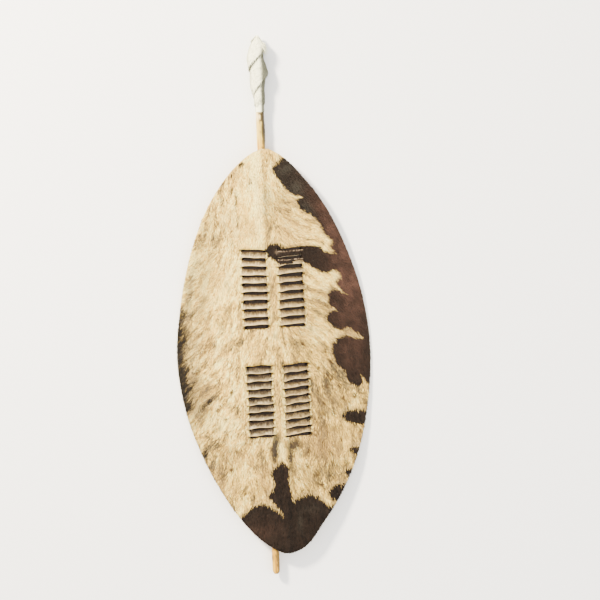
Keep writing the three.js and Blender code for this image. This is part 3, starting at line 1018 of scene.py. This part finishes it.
hair = {
    "spacing": 1.52,
    "scatter": 0.6,  # how far a root strays from its place, in spacings
    "field": (178, 356),  # half the width and half the length over which roots are strewn
    "width": (0.75, 1.45),
    "thickness": 0.36,
    "sleekLength": (7.5, 12.0),
    "looseLength": (8.5, 15.0),
    "barLength": (3.5, 6.5),
    "sleekRise": (0.2, 0.55),
    "looseRise": (0.35, 1.5),
    "tuft": 6.0,
    "pressedHairy": 0.42,  # the share of a pressed bar, from its lower edge, that is hairy
    # In pairs, for sleek hair and for loose hair: degrees by which neighbours differ, how far locks lean
    # to their tuft's middle, how far from a lock's middle its colour may come, and the painted shade at its
    # root
    "spread": (11, 13),
    "tuftPull": (0.12, 0.6),
    "colourStray": (0.12, 0.17),
    "rootShade": (0.8, 0.64),
    "tuftTone": ((0.95, 0.86), (0.1, 0.28)),  # the least and how much more
    "ownTone": (0.8, 1.14),
    "turnedOver": 1.1,  # how far a lock may take its colour from beside it
    "pieces": 5,
}

# One lock, made once and copied by stampLocks: a three-sided cone, full at its middle.
deselectAll()
bpy.ops.mesh.primitive_cone_add(vertices=3, radius1=1, radius2=0, depth=2)
lock = bpy.context.object
lock.name = "lock"
bpy.ops.object.mode_set(mode="EDIT")
bpy.ops.mesh.select_all(action="SELECT")
bpy.ops.mesh.bisect(plane_co=(0, 0, -0.2), plane_no=(0, 0, 1))
bpy.ops.mesh.select_all(action="DESELECT")
bpy.ops.object.mode_set(mode="OBJECT")
for vertex in lock.data.vertices:
    vertex.select = abs(vertex.co.z + 0.2) < 0.01
bpy.ops.object.mode_set(mode="EDIT")
bpy.ops.transform.resize(value=(1.75, 1.75, 1))
bpy.ops.mesh.select_all(action="SELECT")
bpy.ops.mesh.quads_convert_to_tris()
bpy.ops.object.mode_set(mode="OBJECT")
lockShape = vertexArray(lock)
lockFaces = np.array([list(face.vertices) for face in lock.data.polygons])
bpy.data.objects.remove(lock)
lockAcross = lockShape[:, 0] / 0.866
lockUp = (lockShape[:, 1] + 0.5) / 1.5
lockAlong = (lockShape[:, 2] + 1) / 2


def stampLocks(name, points, colours, material):
    # points is locks x vertices x 3 in mm, colours the same in linear light
    count, each = points.shape[:2]
    corners = (lockFaces[None] + each * np.arange(count)[:, None, None]).reshape(-1)
    mesh = bpy.data.meshes.new(name)
    mesh.vertices.add(count * each)
    mesh.vertices.foreach_set("co", (points.reshape(-1) * mm).astype(np.float32))
    faceCount = count * len(lockFaces)
    mesh.loops.add(faceCount * 3)
    mesh.loops.foreach_set("vertex_index", corners.astype(np.int32))
    mesh.polygons.add(faceCount)
    mesh.polygons.foreach_set("loop_start", np.arange(0, faceCount * 3, 3, dtype=np.int32))
    mesh.update(calc_edges=True)
    mesh.validate()
    mesh.polygons.foreach_set("use_smooth", np.ones(faceCount, bool))
    made = bpy.data.objects.new(name, mesh)
    bpy.context.collection.objects.link(made)
    paint(made, "coat", colours.reshape(-1, 3))
    mesh.materials.append(material)
    return made


def hairRoots(random):
    step, scatter = hair["spacing"], hair["scatter"]
    gx, gy = np.meshgrid(*(np.arange(-half, half, step) for half in hair["field"]))
    x = gx.ravel() + random.uniform(-scatter, scatter, gx.size) * step
    y = gy.ravel() + random.uniform(-scatter, scatter, gx.size) * step
    onHide = (np.abs(y) < hide["length"] / 2 - 1) & (x > edgeAt(y, -1) + 1) & (x < edgeAt(y, 1) - 1)
    x, y = x[onHide], y[onHide]
    # The lower part of each pressed bar is hairy too, and its hair runs out over the next proud bar.
    kind, up, _ = barPlace(x, y)
    free = (kind != 2) | (up < hair["pressedHairy"])
    return x[free], y[free]


def reachBeforeSlit(x, y, dx, dy, kind, wanted):
    # The longest part of each lock that doesn't cross a slit or pass the hide's edge
    reach = wanted.copy()
    for share in np.linspace(1.0, 0.1, 10):
        far = wanted * share
        tipX, tipY = x + dx * far, y + dy * far
        tipKind = barPlace(tipX, tipY + np.where(kind == 1, -0.9, 0.0))[0]
        outside = (tipX < edgeAt(tipY, -1) - 0.8) | (tipX > edgeAt(tipY, 1) + 0.8) | (np.abs(tipY) > 350.5)
        reach = np.where(((tipKind == 2) & (kind != 2)) | outside, np.minimum(reach, far * 0.92), reach)
    return reach


def besideColumns(x, y):
    # How far each place is outside the nearest column's end, in mm, and the kind of bar that it is beside
    away, kind = np.full(x.shape, 99.0), np.zeros(x.shape, int)
    for column in lacing["columns"]:
        off = np.abs(x - column) - lacing["slitLength"] / 2
        near = (off > -1.0) & (off < 8)
        clamped = column + np.sign(x - column) * (lacing["slitLength"] / 2 - 0.5)
        beside = barPlace(clamped, y)[0]
        away, kind = np.where(near & (beside > 0), off, away), np.where(near, beside, kind)
    return away, kind


def nearestTuft(x, y, dx, dy):
    # How far to each root's side the middle of its tuft is, and one random value for each tuft
    cell = hair["tuft"]
    tables = np.random.default_rng(17).random((3, 256, 256))
    i, j = np.floor(x / cell).astype(int), np.floor(y / cell).astype(int)
    closest, sideways, value = np.full(x.shape, 1e9), np.zeros(x.shape), np.zeros(x.shape)
    for a in (-1, 0, 1):
        for b in (-1, 0, 1):
            jitterX, jitterY, own = tables[:, (i + a) % 256, (j + b) % 256]
            toX, toY = (i + a + jitterX) * cell - x, (j + b + jitterY) * cell - y
            across, along = toX * -dy + toY * dx, toX * dx + toY * dy
            distance = across**2 + (along / 2.4) ** 2
            nearer = distance < closest
            closest = np.where(nearer, distance, closest)
            sideways, value = np.where(nearer, across, sideways), np.where(nearer, own, value)
    return sideways, value


def lockPlan(x, y, dirX, dirY, lengths, sideways):
    # Where the vertices of locks lie in the lacing's frame. sideways is how far each is to its lock's side.
    along = lengths[:, None] * lockAlong
    px = x[:, None] + dirX[:, None] * along - dirY[:, None] * sideways
    py = y[:, None] + dirY[:, None] * along + dirX[:, None] * sideways
    return px, py


random = np.random.default_rng(5)
rootX, rootY = hairRoots(random)
count = len(rootX)
kind, up, _ = barPlace(rootX, rootY)
loose = shagginess(rootX, rootY)
heading = hairHeading(rootX, rootY) + random.normal(0, 1, count) * mixed(*hair["spread"], loose)
# The hair on the left columns' bars hangs down, on the right columns' bars it lies along them.
heading = np.where(kind > 0, np.where(rootX < 0, 0.3, 1.0) * heading, heading)
heading = np.where((kind == 2) & (rootX > 0), 0.45 * heading, heading)
dirX, dirY = headingVector(heading)
sleek, long = random.uniform(*hair["sleekLength"], count), random.uniform(*hair["looseLength"], count)
lengths = np.where(kind > 0, random.uniform(*hair["barLength"], count), mixed(sleek, long, loose))
lengths = np.where(kind == 2, 0.7 * lengths, lengths)
away, _ = besideColumns(rootX, rootY)
lengths = np.where((kind == 0) & (away < bars["tuftReach"] + 1), 0.45 * lengths, lengths)
lengths = reachBeforeSlit(rootX, rootY, dirX, dirY, kind, lengths)
kept = lengths > 1.6
rootX, rootY, kind, up, loose, dirX, dirY, lengths = (
    values[kept] for values in (rootX, rootY, kind, up, loose, dirX, dirY, lengths)
)
count = len(rootX)
onBar = kind > 0
widths = random.uniform(*hair["width"], count)
clump = streaks(rootX, rootY, "clump")
toTuft, tuftValue = nearestTuft(rootX, rootY, dirX, dirY)
raised = np.clip(0.45 * clump + 0.25 * tuftValue + 0.3 * random.random(count), 0, 1)
rises = mixed(mixed(*hair["sleekRise"], raised), mixed(*hair["looseRise"], raised), loose)
rises *= np.clip(lengths / 9, 0.35, 1)
pull = np.where(onBar, 0.0, mixed(*hair["tuftPull"], loose)) * toTuft
bends = random.normal(0, 0.07, count) * lengths

along = lockAlong[None, :]
sideways = lockAcross[None, :] * widths[:, None] / 2 + bends[:, None] * along**2 + pull[:, None] * along**1.5
px, py = lockPlan(rootX, rootY, dirX, dirY, lengths, sideways)
lift = rises[:, None] * np.sin(np.pi * np.clip(0.12 + 0.78 * along, 0, 1)) - 0.35 * (along < 0.01)
thick = hair["thickness"] * widths[:, None] * lockUp[None, :]
flatX, flatY = px.ravel(), py.ravel()
ground = skinHeight(flatX, flatY)
# A tip that leans over a slit stays at the level of its own bar instead of falling into the slit.
overSlit = barPlace(flatX, flatY)[0] == 2
rootGround = np.repeat(skinHeight(rootX, rootY), px.shape[1])
level = np.where(np.repeat(onBar, px.shape[1]), rootGround, ground - barLift(flatX, flatY))
ground = np.where(overSlit & np.repeat(kind != 2, px.shape[1]), level, ground)
pz = np.maximum(ground.reshape(px.shape) + lift + thick, 0.25)
points = placed(flatX, flatY, pz.ravel()).reshape(count, -1, 3)

# Each lock takes the colour of a place under it, about its middle, so the patches keep their outlines
# but run into each other by a few hairs.
under = np.clip(random.normal(0.5, mixed(*hair["colourStray"], loose), count), 0, 1) * lengths
aside = random.normal(0, hair["turnedOver"], count)
middleX, middleY = rootX + under * dirX - aside * dirY, rootY + under * dirY + aside * dirX
own = random.random(count)
tones = coatColours(middleX, middleY, own)
isDark = darkAt(middleX, middleY)
besideDark = darkAt(rootX + dirX * lengths, rootY + dirY * lengths).astype(float)
for offX, offY in ((2.2, 0), (-2.2, 0), (0, 2.2), (0, -2.2)):
    besideDark += 0.6 * darkAt(middleX + offX, middleY + offY)
besideDark = np.minimum(besideDark, 1) * ~isDark
tones = mixed(tones, linear(coat["edge"]) * (0.8 + 0.5 * own)[:, None], 0.8 * besideDark[:, None])
least, more = hair["tuftTone"]
tones = tones * (mixed(*least, loose) + mixed(*more, loose) * tuftValue)[:, None]
tones = np.repeat(tones[:, None, :], px.shape[1], axis=1)
# Specks, a few mm across, that some light hairs pass over
speckled = (~isDark & (own < 0.8))[:, None]
wide, tall = coat["speckReach"]
for number, pixel in enumerate(coat["specks"]):
    speckReach = (wide + 0.6 * np.sin(1.7 * number), tall + 1.1 * np.sin(2.9 * number))
    weight = 2.4 * placeWeight(px, py, pixel, speckReach, 40 * np.sin(number)) * speckled
    tones = mixed(tones, linear(coat["freckle"]), np.clip(weight, 0, 0.95)[..., None])
# The tone on a bar, with its painted highlight and shade, changes along each lock; on the dark patches
# painted shade blackens each bar's upper edge, and the knife's cut shows as a pale line in the upper block.
block = (rootY < 0).astype(int)
pressedHeight = np.array([each["pressed"] for each in lacing["blocks"]])[block]
barHeight = np.array([each["pitch"] for each in lacing["blocks"]])[block] - pressedHeight
rootUp = np.where(kind == 2, 1 + up * pressedHeight / barHeight, up)
vertexUp = rootUp[:, None] + (py - rootY[:, None]) / barHeight[:, None]
onVertex = barTone(px, py, vertexUp, own[:, None])
darkOnVertex = mixed(tones, linear(coat["darkBlack"]), (0.8 * smooth(vertexUp, 0.8, 1.0))[..., None])
paleLine = (smooth(np.abs(vertexUp - 0.93), 0.1, 0.04) * (block == 0)[:, None])[..., None]
darkOnVertex = mixed(darkOnVertex, linear(coat["cutInDark"]), 0.95 * paleLine * (own > 0.25)[:, None, None])
onVertex = np.where(isDark[:, None, None], darkOnVertex, onVertex)
tones = np.where(onBar[:, None, None], onVertex, tones)
# Painted highlights where the hide climbs to each proud bar, painted shade in the hollows beside the gaps
away, beside = besideColumns(px, py)
near = (1 - smooth(away, 0.35 * bars["tuftReach"], bars["tuftReach"])) * (~isDark & ~onBar)[:, None]
near = near * (0.6 + 0.4 * patternNoise(px, py, 5, 27))
tones = mixed(tones, linear(coat["white"]), (0.85 * near * (beside == 1))[..., None])
tones = mixed(tones, linear(bars["hollowShade"]), (0.97 * near * (beside == 2))[..., None])
tones = tones * random.uniform(*hair["ownTone"], count)[:, None, None]
# Painted shade: each lock is darker and greyer at its root, deep among the others, and a little lighter at
# its tip.
atRoot = mixed(*hair["rootShade"], loose)[:, None]
depth = mixed(atRoot, 1.0, smooth(along, 0.0, 0.45)) * mixed(1.0, 1.05, along)
colours = tones * depth[..., None]
paler = colours @ np.array([0.3, 0.5, 0.2])
colours = mixed(colours, paler[..., None], 0.5 * np.clip(1 - depth, 0, 1)[..., None])

order = np.argsort(-rootY)
for number, chosen in enumerate(np.array_split(order, hair["pieces"]), 1):
    addPiece(stampLocks(f"coatHair{number}", points[chosen], colours[chosen], hairMaterial), "hide")
print("hair made:", count, "locks")

# The knife's cuts run on past the columns, where dark locks stand in for the shade in the parted hair.
tailX, tailY, tailLength, tailHeading = [], [], [], []
for row, block in enumerate(lacing["blocks"]):
    for which, column in enumerate(lacing["columns"]):
        for gap in range(lacing["bars"]):
            top = blockTop(block) - gap * block["pitch"]
            for end, reach in zip((-1, 1), bars["tails"][row][which]):
                for line in range(3):
                    tailX.append(column + end * (lacing["slitLength"] / 2 - 1.5))
                    tailY.append(top - block["pressed"] * 0.5 + 0.4 * (line - 1))
                    tailLength.append(1.5 + reach * random.uniform(0.3, 1.1))
                    tailHeading.append(end * random.uniform(84, 94))
tailX, tailY, tailLength = np.array(tailX), np.array(tailY), np.array(tailLength)
dirX, dirY = headingVector(np.array(tailHeading))
px, py = lockPlan(tailX, tailY, dirX, dirY, tailLength, lockAcross[None] * 0.5)
flatX, flatY = px.ravel(), py.ravel()
ground = (skinHeight(flatX, flatY) - barLift(flatX, flatY)).reshape(px.shape)
pz = ground + 0.55 + 0.5 * np.sin(np.pi * along) + 0.3 * lockUp[None]
points = placed(flatX, flatY, pz.ravel()).reshape(len(tailX), -1, 3)
tone = linear(bars["gap"][1]) * random.uniform(0.8, 1.6, len(tailX))[:, None]
tone = np.repeat(tone[:, None, :], px.shape[1], axis=1)
addPiece(stampLocks("slitTails", points, tone, hairMaterial), "hide")
print("cuts' ends made:", len(tailX), "locks")

# The laces

lace = {
    "width": 36.0,
    "thickness": 1.5,
    "below": 0.4,  # clear of the hide's back
    "tail": 12.0,
    "bandWidth": 16.0,
    "bandGap": 4.0,
    "stripGrid": (10, 60),
    "bandGrid": (56, 8),
    "pieces": (("laceUpper", "lace_upper"), ("laceLower", "lace_lower")),
}


def laceBlock(index):
    # Which way the lace crosses beyond its block, where its strips end and where its band runs
    block = lacing["blocks"][index]
    outward = 1 if index == 0 else -1
    half = slitEdges(block)[-1] / 2
    inner = block["middle"] - outward * (half + lace["tail"])
    band = block["middle"] + outward * (half + lace["bandGap"] + lace["bandWidth"] / 2)
    return outward, inner, band


def stickRadius(rowY):
    share = (rowY - stick["bottom"]) / (stick["top"] - stick["bottom"])
    return mixed(stick["bottomRadius"], stick["topRadius"], share)


def makeLaceStrip(name, column, low, high):
    columns, rows = lace["stripGrid"]
    strip, i, j = makeGrid(name, columns, rows)
    t = j / rows
    s = i / columns * 2 - 1
    y = mixed(low, high, t)
    narrow = 1 - 0.04 * (0.5 + 0.5 * np.sin(y / 13 + column)) - 0.3 * smooth(np.abs(t - 0.5), 0.46, 0.5)
    x = column + s * lace["width"] / 2 * narrow + 0.5 * np.sin(y / 19 + column)
    cup = 0.35 * (np.abs(s) ** 3)
    z = backHeight(x, y) - lace["below"] - cup * 0.6 + 0.12 * np.sin(y / 3.1 + 2 * s)
    px, py = fromLacing(x, y)
    placeVertices(strip, np.column_stack((px, py, z)))
    applyModifier(strip, "SOLIDIFY", thickness=lace["thickness"] * mm, offset=-1)
    return strip


def makeLaceBand(name, bandY):
    # The crossing under the stick, pulled tight from one strip to the other
    columns, rows = lace["bandGrid"]
    band, i, j = makeGrid(name, columns, rows)
    s = (j / rows * 2 - 1) * lace["bandWidth"] / 2
    left, right = lacing["columns"]
    anchors = []
    for x in (left - 10, left + 6, right - 6, right + 10):
        px = fromLacing(np.array([x]), np.array([bandY]))[0]
        back = backHeight(np.array([x]), np.array([bandY]))[0]
        anchors.append((px[0], back - lace["below"] - lace["thickness"]))
    rowY = fromLacing(np.array([0.0]), np.array([bandY]))[1][0]
    radius = stickRadius(rowY) + 0.8
    angles = np.linspace(math.radians(205), math.radians(325), 11)
    arc = [(stick["x"] + radius * math.cos(a), stick["height"] + radius * math.sin(a)) for a in angles]
    path = np.array([anchors[0], anchors[1], *arc, anchors[2], anchors[3]])
    lengthsAlong = np.concatenate(([0], np.cumsum(np.hypot(*np.diff(path, axis=0).T))))
    place = i / columns * lengthsAlong[-1]
    x = np.interp(place, lengthsAlong, path[:, 0])
    z = np.interp(place, lengthsAlong, path[:, 1]) - 0.3 * np.sin(place / 2.7) * np.abs(s) / 8
    placeVertices(band, np.column_stack((x, rowY + s + 0.4 * np.sin(place / 9), z)))
    applyModifier(band, "SOLIDIFY", thickness=lace["thickness"] * mm, offset=0)
    return band


for index, (name, node) in enumerate(lace["pieces"]):
    outward, inner, band = laceBlock(index)
    low, high = sorted((inner, band + outward * lace["bandWidth"] / 2))
    parts = [makeLaceStrip("strip", column, low, high) for column in lacing["columns"]]
    parts.append(makeLaceBand("band", band))
    selectOnly(parts[0])
    for part in parts:
        part.select_set(True)
    bpy.ops.object.join()
    made = bpy.context.object
    made.name = made.data.name = name
    editAll(made, faceOut)
    sharp = math.radians(50)
    applyModifier(made, "BEVEL", width=0.35 * mm, segments=2, limit_method="ANGLE", angle_limit=sharp)
    made.data.materials.append(laceMaterial)
    shadeSmooth(made, 40)
    addPiece(made, "lace", node)
print("laces made")

# The stick

branch = {
    "sides": 36,
    "rings": 230,
    "rounding": 7.0,
    # Knots: place along the stick, angle round it in degrees from its right side, height
    "knots": [
        (301, 20, 1.3), (311, 352, 0.9), (293, 348, 0.9), (283, 15, 0.7), (352, 200, 0.7),
        (-438, 150, 0.6), (120, 250, 0.8), (-80, 300, 0.9), (-250, 280, 0.8),
    ],
    "honey": "#d6aa30",
    "straw": "#dcc566",
    # Painted shade for the stick's right side, away from the light:
    "rightShade": "#241c10",
    "knot": "#20170d",
    # A painted highlight on the stick's lit side just under the fur:
    "pale": "#f6ecd0",
    "paleAbove": 322.0,
}
pole, i, j = makeGrid("peeledStick", branch["sides"], branch["rings"])
angle = i / branch["sides"] * 2 * np.pi
t = j / branch["rings"]
y = mixed(stick["bottom"], stick["top"], t)
fromEnd = np.minimum(y - stick["bottom"], stick["top"] - y)
rounded = np.sqrt(np.clip(1 - (1 - np.clip(fromEnd / branch["rounding"], 0, 1)) ** 2, 0, 1))
radius = mixed(stick["bottomRadius"], stick["topRadius"], t)
radius = radius + 0.18 * np.sin(y / 23 + 1) + 0.12 * np.sin(y / 7.3 + 2 * angle)
radius = radius + 0.1 * np.sin(5 * angle + y / 60)
knotted = np.zeros(len(y))
for placeAlong, knotAngle, rise in branch["knots"]:
    turn = np.angle(np.exp(1j * (angle - math.radians(knotAngle))))
    knob = np.exp(-(((y - placeAlong) / 5) ** 2) - (turn / 0.5) ** 2)
    radius, knotted = radius + rise * knob, np.maximum(knotted, knob)
radius = np.maximum(radius * mixed(0.52, 1.0, rounded), 0.1)
sway = 0.35 * np.sin(y / 130 + 0.5)
x, z = stick["x"] + sway + radius * np.cos(angle), stick["height"] + radius * np.sin(angle)
placeVertices(pole, np.column_stack((x, y, z)))
# Painted shade on the right side, away from the light, darker knots, and a painted highlight on the lit side
# just under the fur
nearTop = np.maximum(smooth(y, 255, 300), 0.35 * smooth(-y, 400, 440))
uneven = (patternNoise(y, 9 * angle, 5.5, 42) - 0.5) * mixed(0.6, 1.3, nearTop)
rightSide = smooth(np.cos(angle - 0.1) + uneven, mixed(0.25, -0.15, nearTop), mixed(0.6, 0.35, nearTop))
lightSide = mixed(linear(branch["honey"]), linear(branch["straw"]), smooth(y, 255, 300)[:, None])
tone = mixed(lightSide, linear(branch["rightShade"]), (mixed(0.55, 0.96, nearTop) * rightSide)[:, None])
litHighlight = 0.9 * smooth(y, branch["paleAbove"] - 9, branch["paleAbove"] + 4) * (1 - rightSide)
tone = mixed(tone, linear(branch["pale"]), litHighlight[:, None])
tone = mixed(tone, linear(branch["knot"]), (0.75 * knotted)[:, None])
handled = mixed(1.0, 0.84, smooth(-y, 380, 430))
paint(pole, "wood", tone * handled[:, None])
editAll(pole, capEnds)
pole.data.materials.append(stickMaterial)
shadeSmooth(pole, 50)
addPiece(pole, "stick", "stick")
print("stick made")

# The fur wrap

wrap = {
    "top": 466.0,
    "length": 133.0,
    "under": 12.6,
    "turns": 2.7,
    "phase": 0.47,
    "slant": 0.16,  # how much steeper the strip crosses the front than the back
    "step": 3.6,
    "left": [3.6, 13.2, 18.4, 20.4, 17.2, 16.8, 17, 14.6, 10.2, 9.3, 9],
    "right": [2.6, 8.4, 9.6, 10.6, 14, 15.8, 13.2, 10.2, 9.9, 9.3, 9],
    "front": [3, 11, 16, 16, 15.5, 15.5, 14, 12, 10.5, 9.4, 9],
    "sides": 72,
    "rings": 170,
    "white": "#f5f7da",
    "shade": "#272a1e",
    "bare": 7.9,  # radius where the strip has no fur
    "torn": 0.905,  # where the fur ends in a torn edge above the strip's bare lower end
    "locks": 4600,
}


def winding(angle, down):
    # How far down its own width the strip is at a place, from 0 at its upper edge to 1 at its lower edge
    around = angle / (2 * np.pi) - wrap["slant"] * np.cos(angle)
    turns = wrap["turns"] * down - around + wrap["phase"]
    return turns - np.floor(turns)


def wrapRadius(angle, down):
    sideways = np.abs(np.cos(angle)) * np.where(
        np.cos(angle) < 0, throughPoints(wrap["left"], down), throughPoints(wrap["right"], down)
    )
    upward = np.abs(np.sin(angle)) * throughPoints(wrap["front"], down)
    share = winding(angle, down)
    slack = smooth(1 - down, 0.1, 0.4) * smooth(down, 0.0, 0.1)
    fold = wrap["step"] * slack * (share**1.3 - 0.6)
    crease = 0.45 * np.sin(6 * angle + 9 * down) * np.sin(22 * down + 2 * angle)
    least = mixed(2.4, wrap["bare"], smooth(down, 0, 0.13))
    covered = np.maximum(np.hypot(sideways, upward) * 0.96 + fold + crease * slack, least)
    return mixed(covered, wrap["bare"], smooth(down - tornEdge(angle), -0.004, 0.004))


def tornEdge(angle):
    ragged = 0.012 * np.sin(3 * angle + 1) + 0.009 * np.sin(7 * angle)
    return wrap["torn"] + ragged + 0.02 * np.cos(angle - 2.6)


def wrapTone(angle, down):
    # White, with painted grey-green shade in the fold under each turn, on the side away from the light, along
    # the left rim and just above the torn edge
    share = winding(angle, down)
    inFold = 0.95 * smooth(1 - share, 0.9, 0.98) * smooth(1 - down, 0.1, 0.35)
    away = 0.88 * smooth(np.cos(angle), 0.15, 0.6) * smooth(down, 0.12, 0.24)
    away = away + 0.35 * smooth(-np.cos(angle), 0.72, 0.95)
    tornShade = 0.3 + 0.6 * smooth(patternNoise(9 * angle, 133 * down, 6, 41), 0.45, 0.9)
    aboveTear = smooth(down, tornEdge(angle) - 0.13, tornEdge(angle)) * (down < tornEdge(angle))
    grey = np.maximum(np.maximum(inFold, away), tornShade * aboveTear)
    return mixed(linear(wrap["white"]), linear(wrap["shade"]), grey[:, None])


bundle, i, j = makeGrid("furWrap", wrap["sides"], wrap["rings"])
angle = i / wrap["sides"] * 2 * np.pi
down = 1 - j / wrap["rings"]
radius = wrapRadius(angle, down) * np.where(down < 0.001, 0.15, 1)
x = stick["x"] + radius * np.cos(angle)
z = stick["height"] + np.maximum(radius * np.sin(angle), -wrap["under"])
placeVertices(bundle, np.column_stack((x, wrap["top"] - wrap["length"] * down, z)))
paint(bundle, "coat", wrapTone(angle, down))
editAll(bundle, capEnds)
bundle.data.materials.append(furMaterial)
shadeSmooth(bundle, 60)
addPiece(bundle, "fur", "fur_wrap")

random = np.random.default_rng(8)
count = wrap["locks"]
rootAngle = random.uniform(0, 2 * np.pi, count)
rootDown = random.uniform(0.015, 0.985, count)
lengths = random.uniform(3.5, 7, count)
widths = random.uniform(0.7, 1.4, count)
slope = random.normal(0.5, 0.25, count)
# A loose tuft stands out at the upper right.
tufted = (rootDown > 0.08) & (rootDown < 0.19) & (np.cos(rootAngle) > 0.55)
lengths, slope = np.where(tufted, 11.5, lengths), np.where(tufted, -0.3, slope)
downStep = lengths / wrap["length"]
lockDown = rootDown[:, None] + downStep[:, None] * lockAlong[None] * np.cos(slope)[:, None]
turnStep = (lengths / 15)[:, None] * lockAlong[None] * np.sin(slope)[:, None]
lockAngle = rootAngle[:, None] + turnStep + lockAcross[None] * (widths / 2 / 14)[:, None]
arch = 0.5 * np.sin(np.pi * np.clip(0.1 + 0.7 * lockAlong, 0, 1))
rise = arch[None] * random.uniform(0.3, 1, count)[:, None]
rise = rise + np.where(tufted, random.uniform(5, 10, count), 0)[:, None] * lockAlong[None]
thick = 0.35 * widths[:, None] * lockUp[None]
# A lock keeps the radius of its root's turn, so it lies over the edge of the turn below.
rootRadius = wrapRadius(rootAngle, rootDown)[:, None]
radius = np.maximum(wrapRadius(lockAngle, np.clip(lockDown, 0, 1)), rootRadius - 1.0) + rise + thick - 0.3
lockX = stick["x"] + radius * np.cos(lockAngle)
lockZ = np.maximum(stick["height"] + radius * np.sin(lockAngle), 0.15)
lockY = wrap["top"] - wrap["length"] * lockDown
furPoints = np.stack((lockX, lockY, lockZ), axis=-1)
# Each lock takes the colour of its root's place, painted shade and all, and painted shade darkens it towards
# its root.
tone = wrapTone(rootAngle, rootDown)
tone = np.where(tufted[:, None], linear(wrap["white"]) * 0.92, tone)
tone = tone[:, None, :] * mixed(0.86, 1.0, smooth(lockAlong, 0, 0.5))[None, :, None]
tone = tone * random.uniform(0.95, 1.03, count)[:, None, None]
furred = rootDown + 0.5 * downStep < tornEdge(rootAngle)
addPiece(stampLocks("furWrapHair", furPoints[furred], tone[furred], furMaterial), "fur")
print("fur wrap made")

# Sizes

low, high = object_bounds()
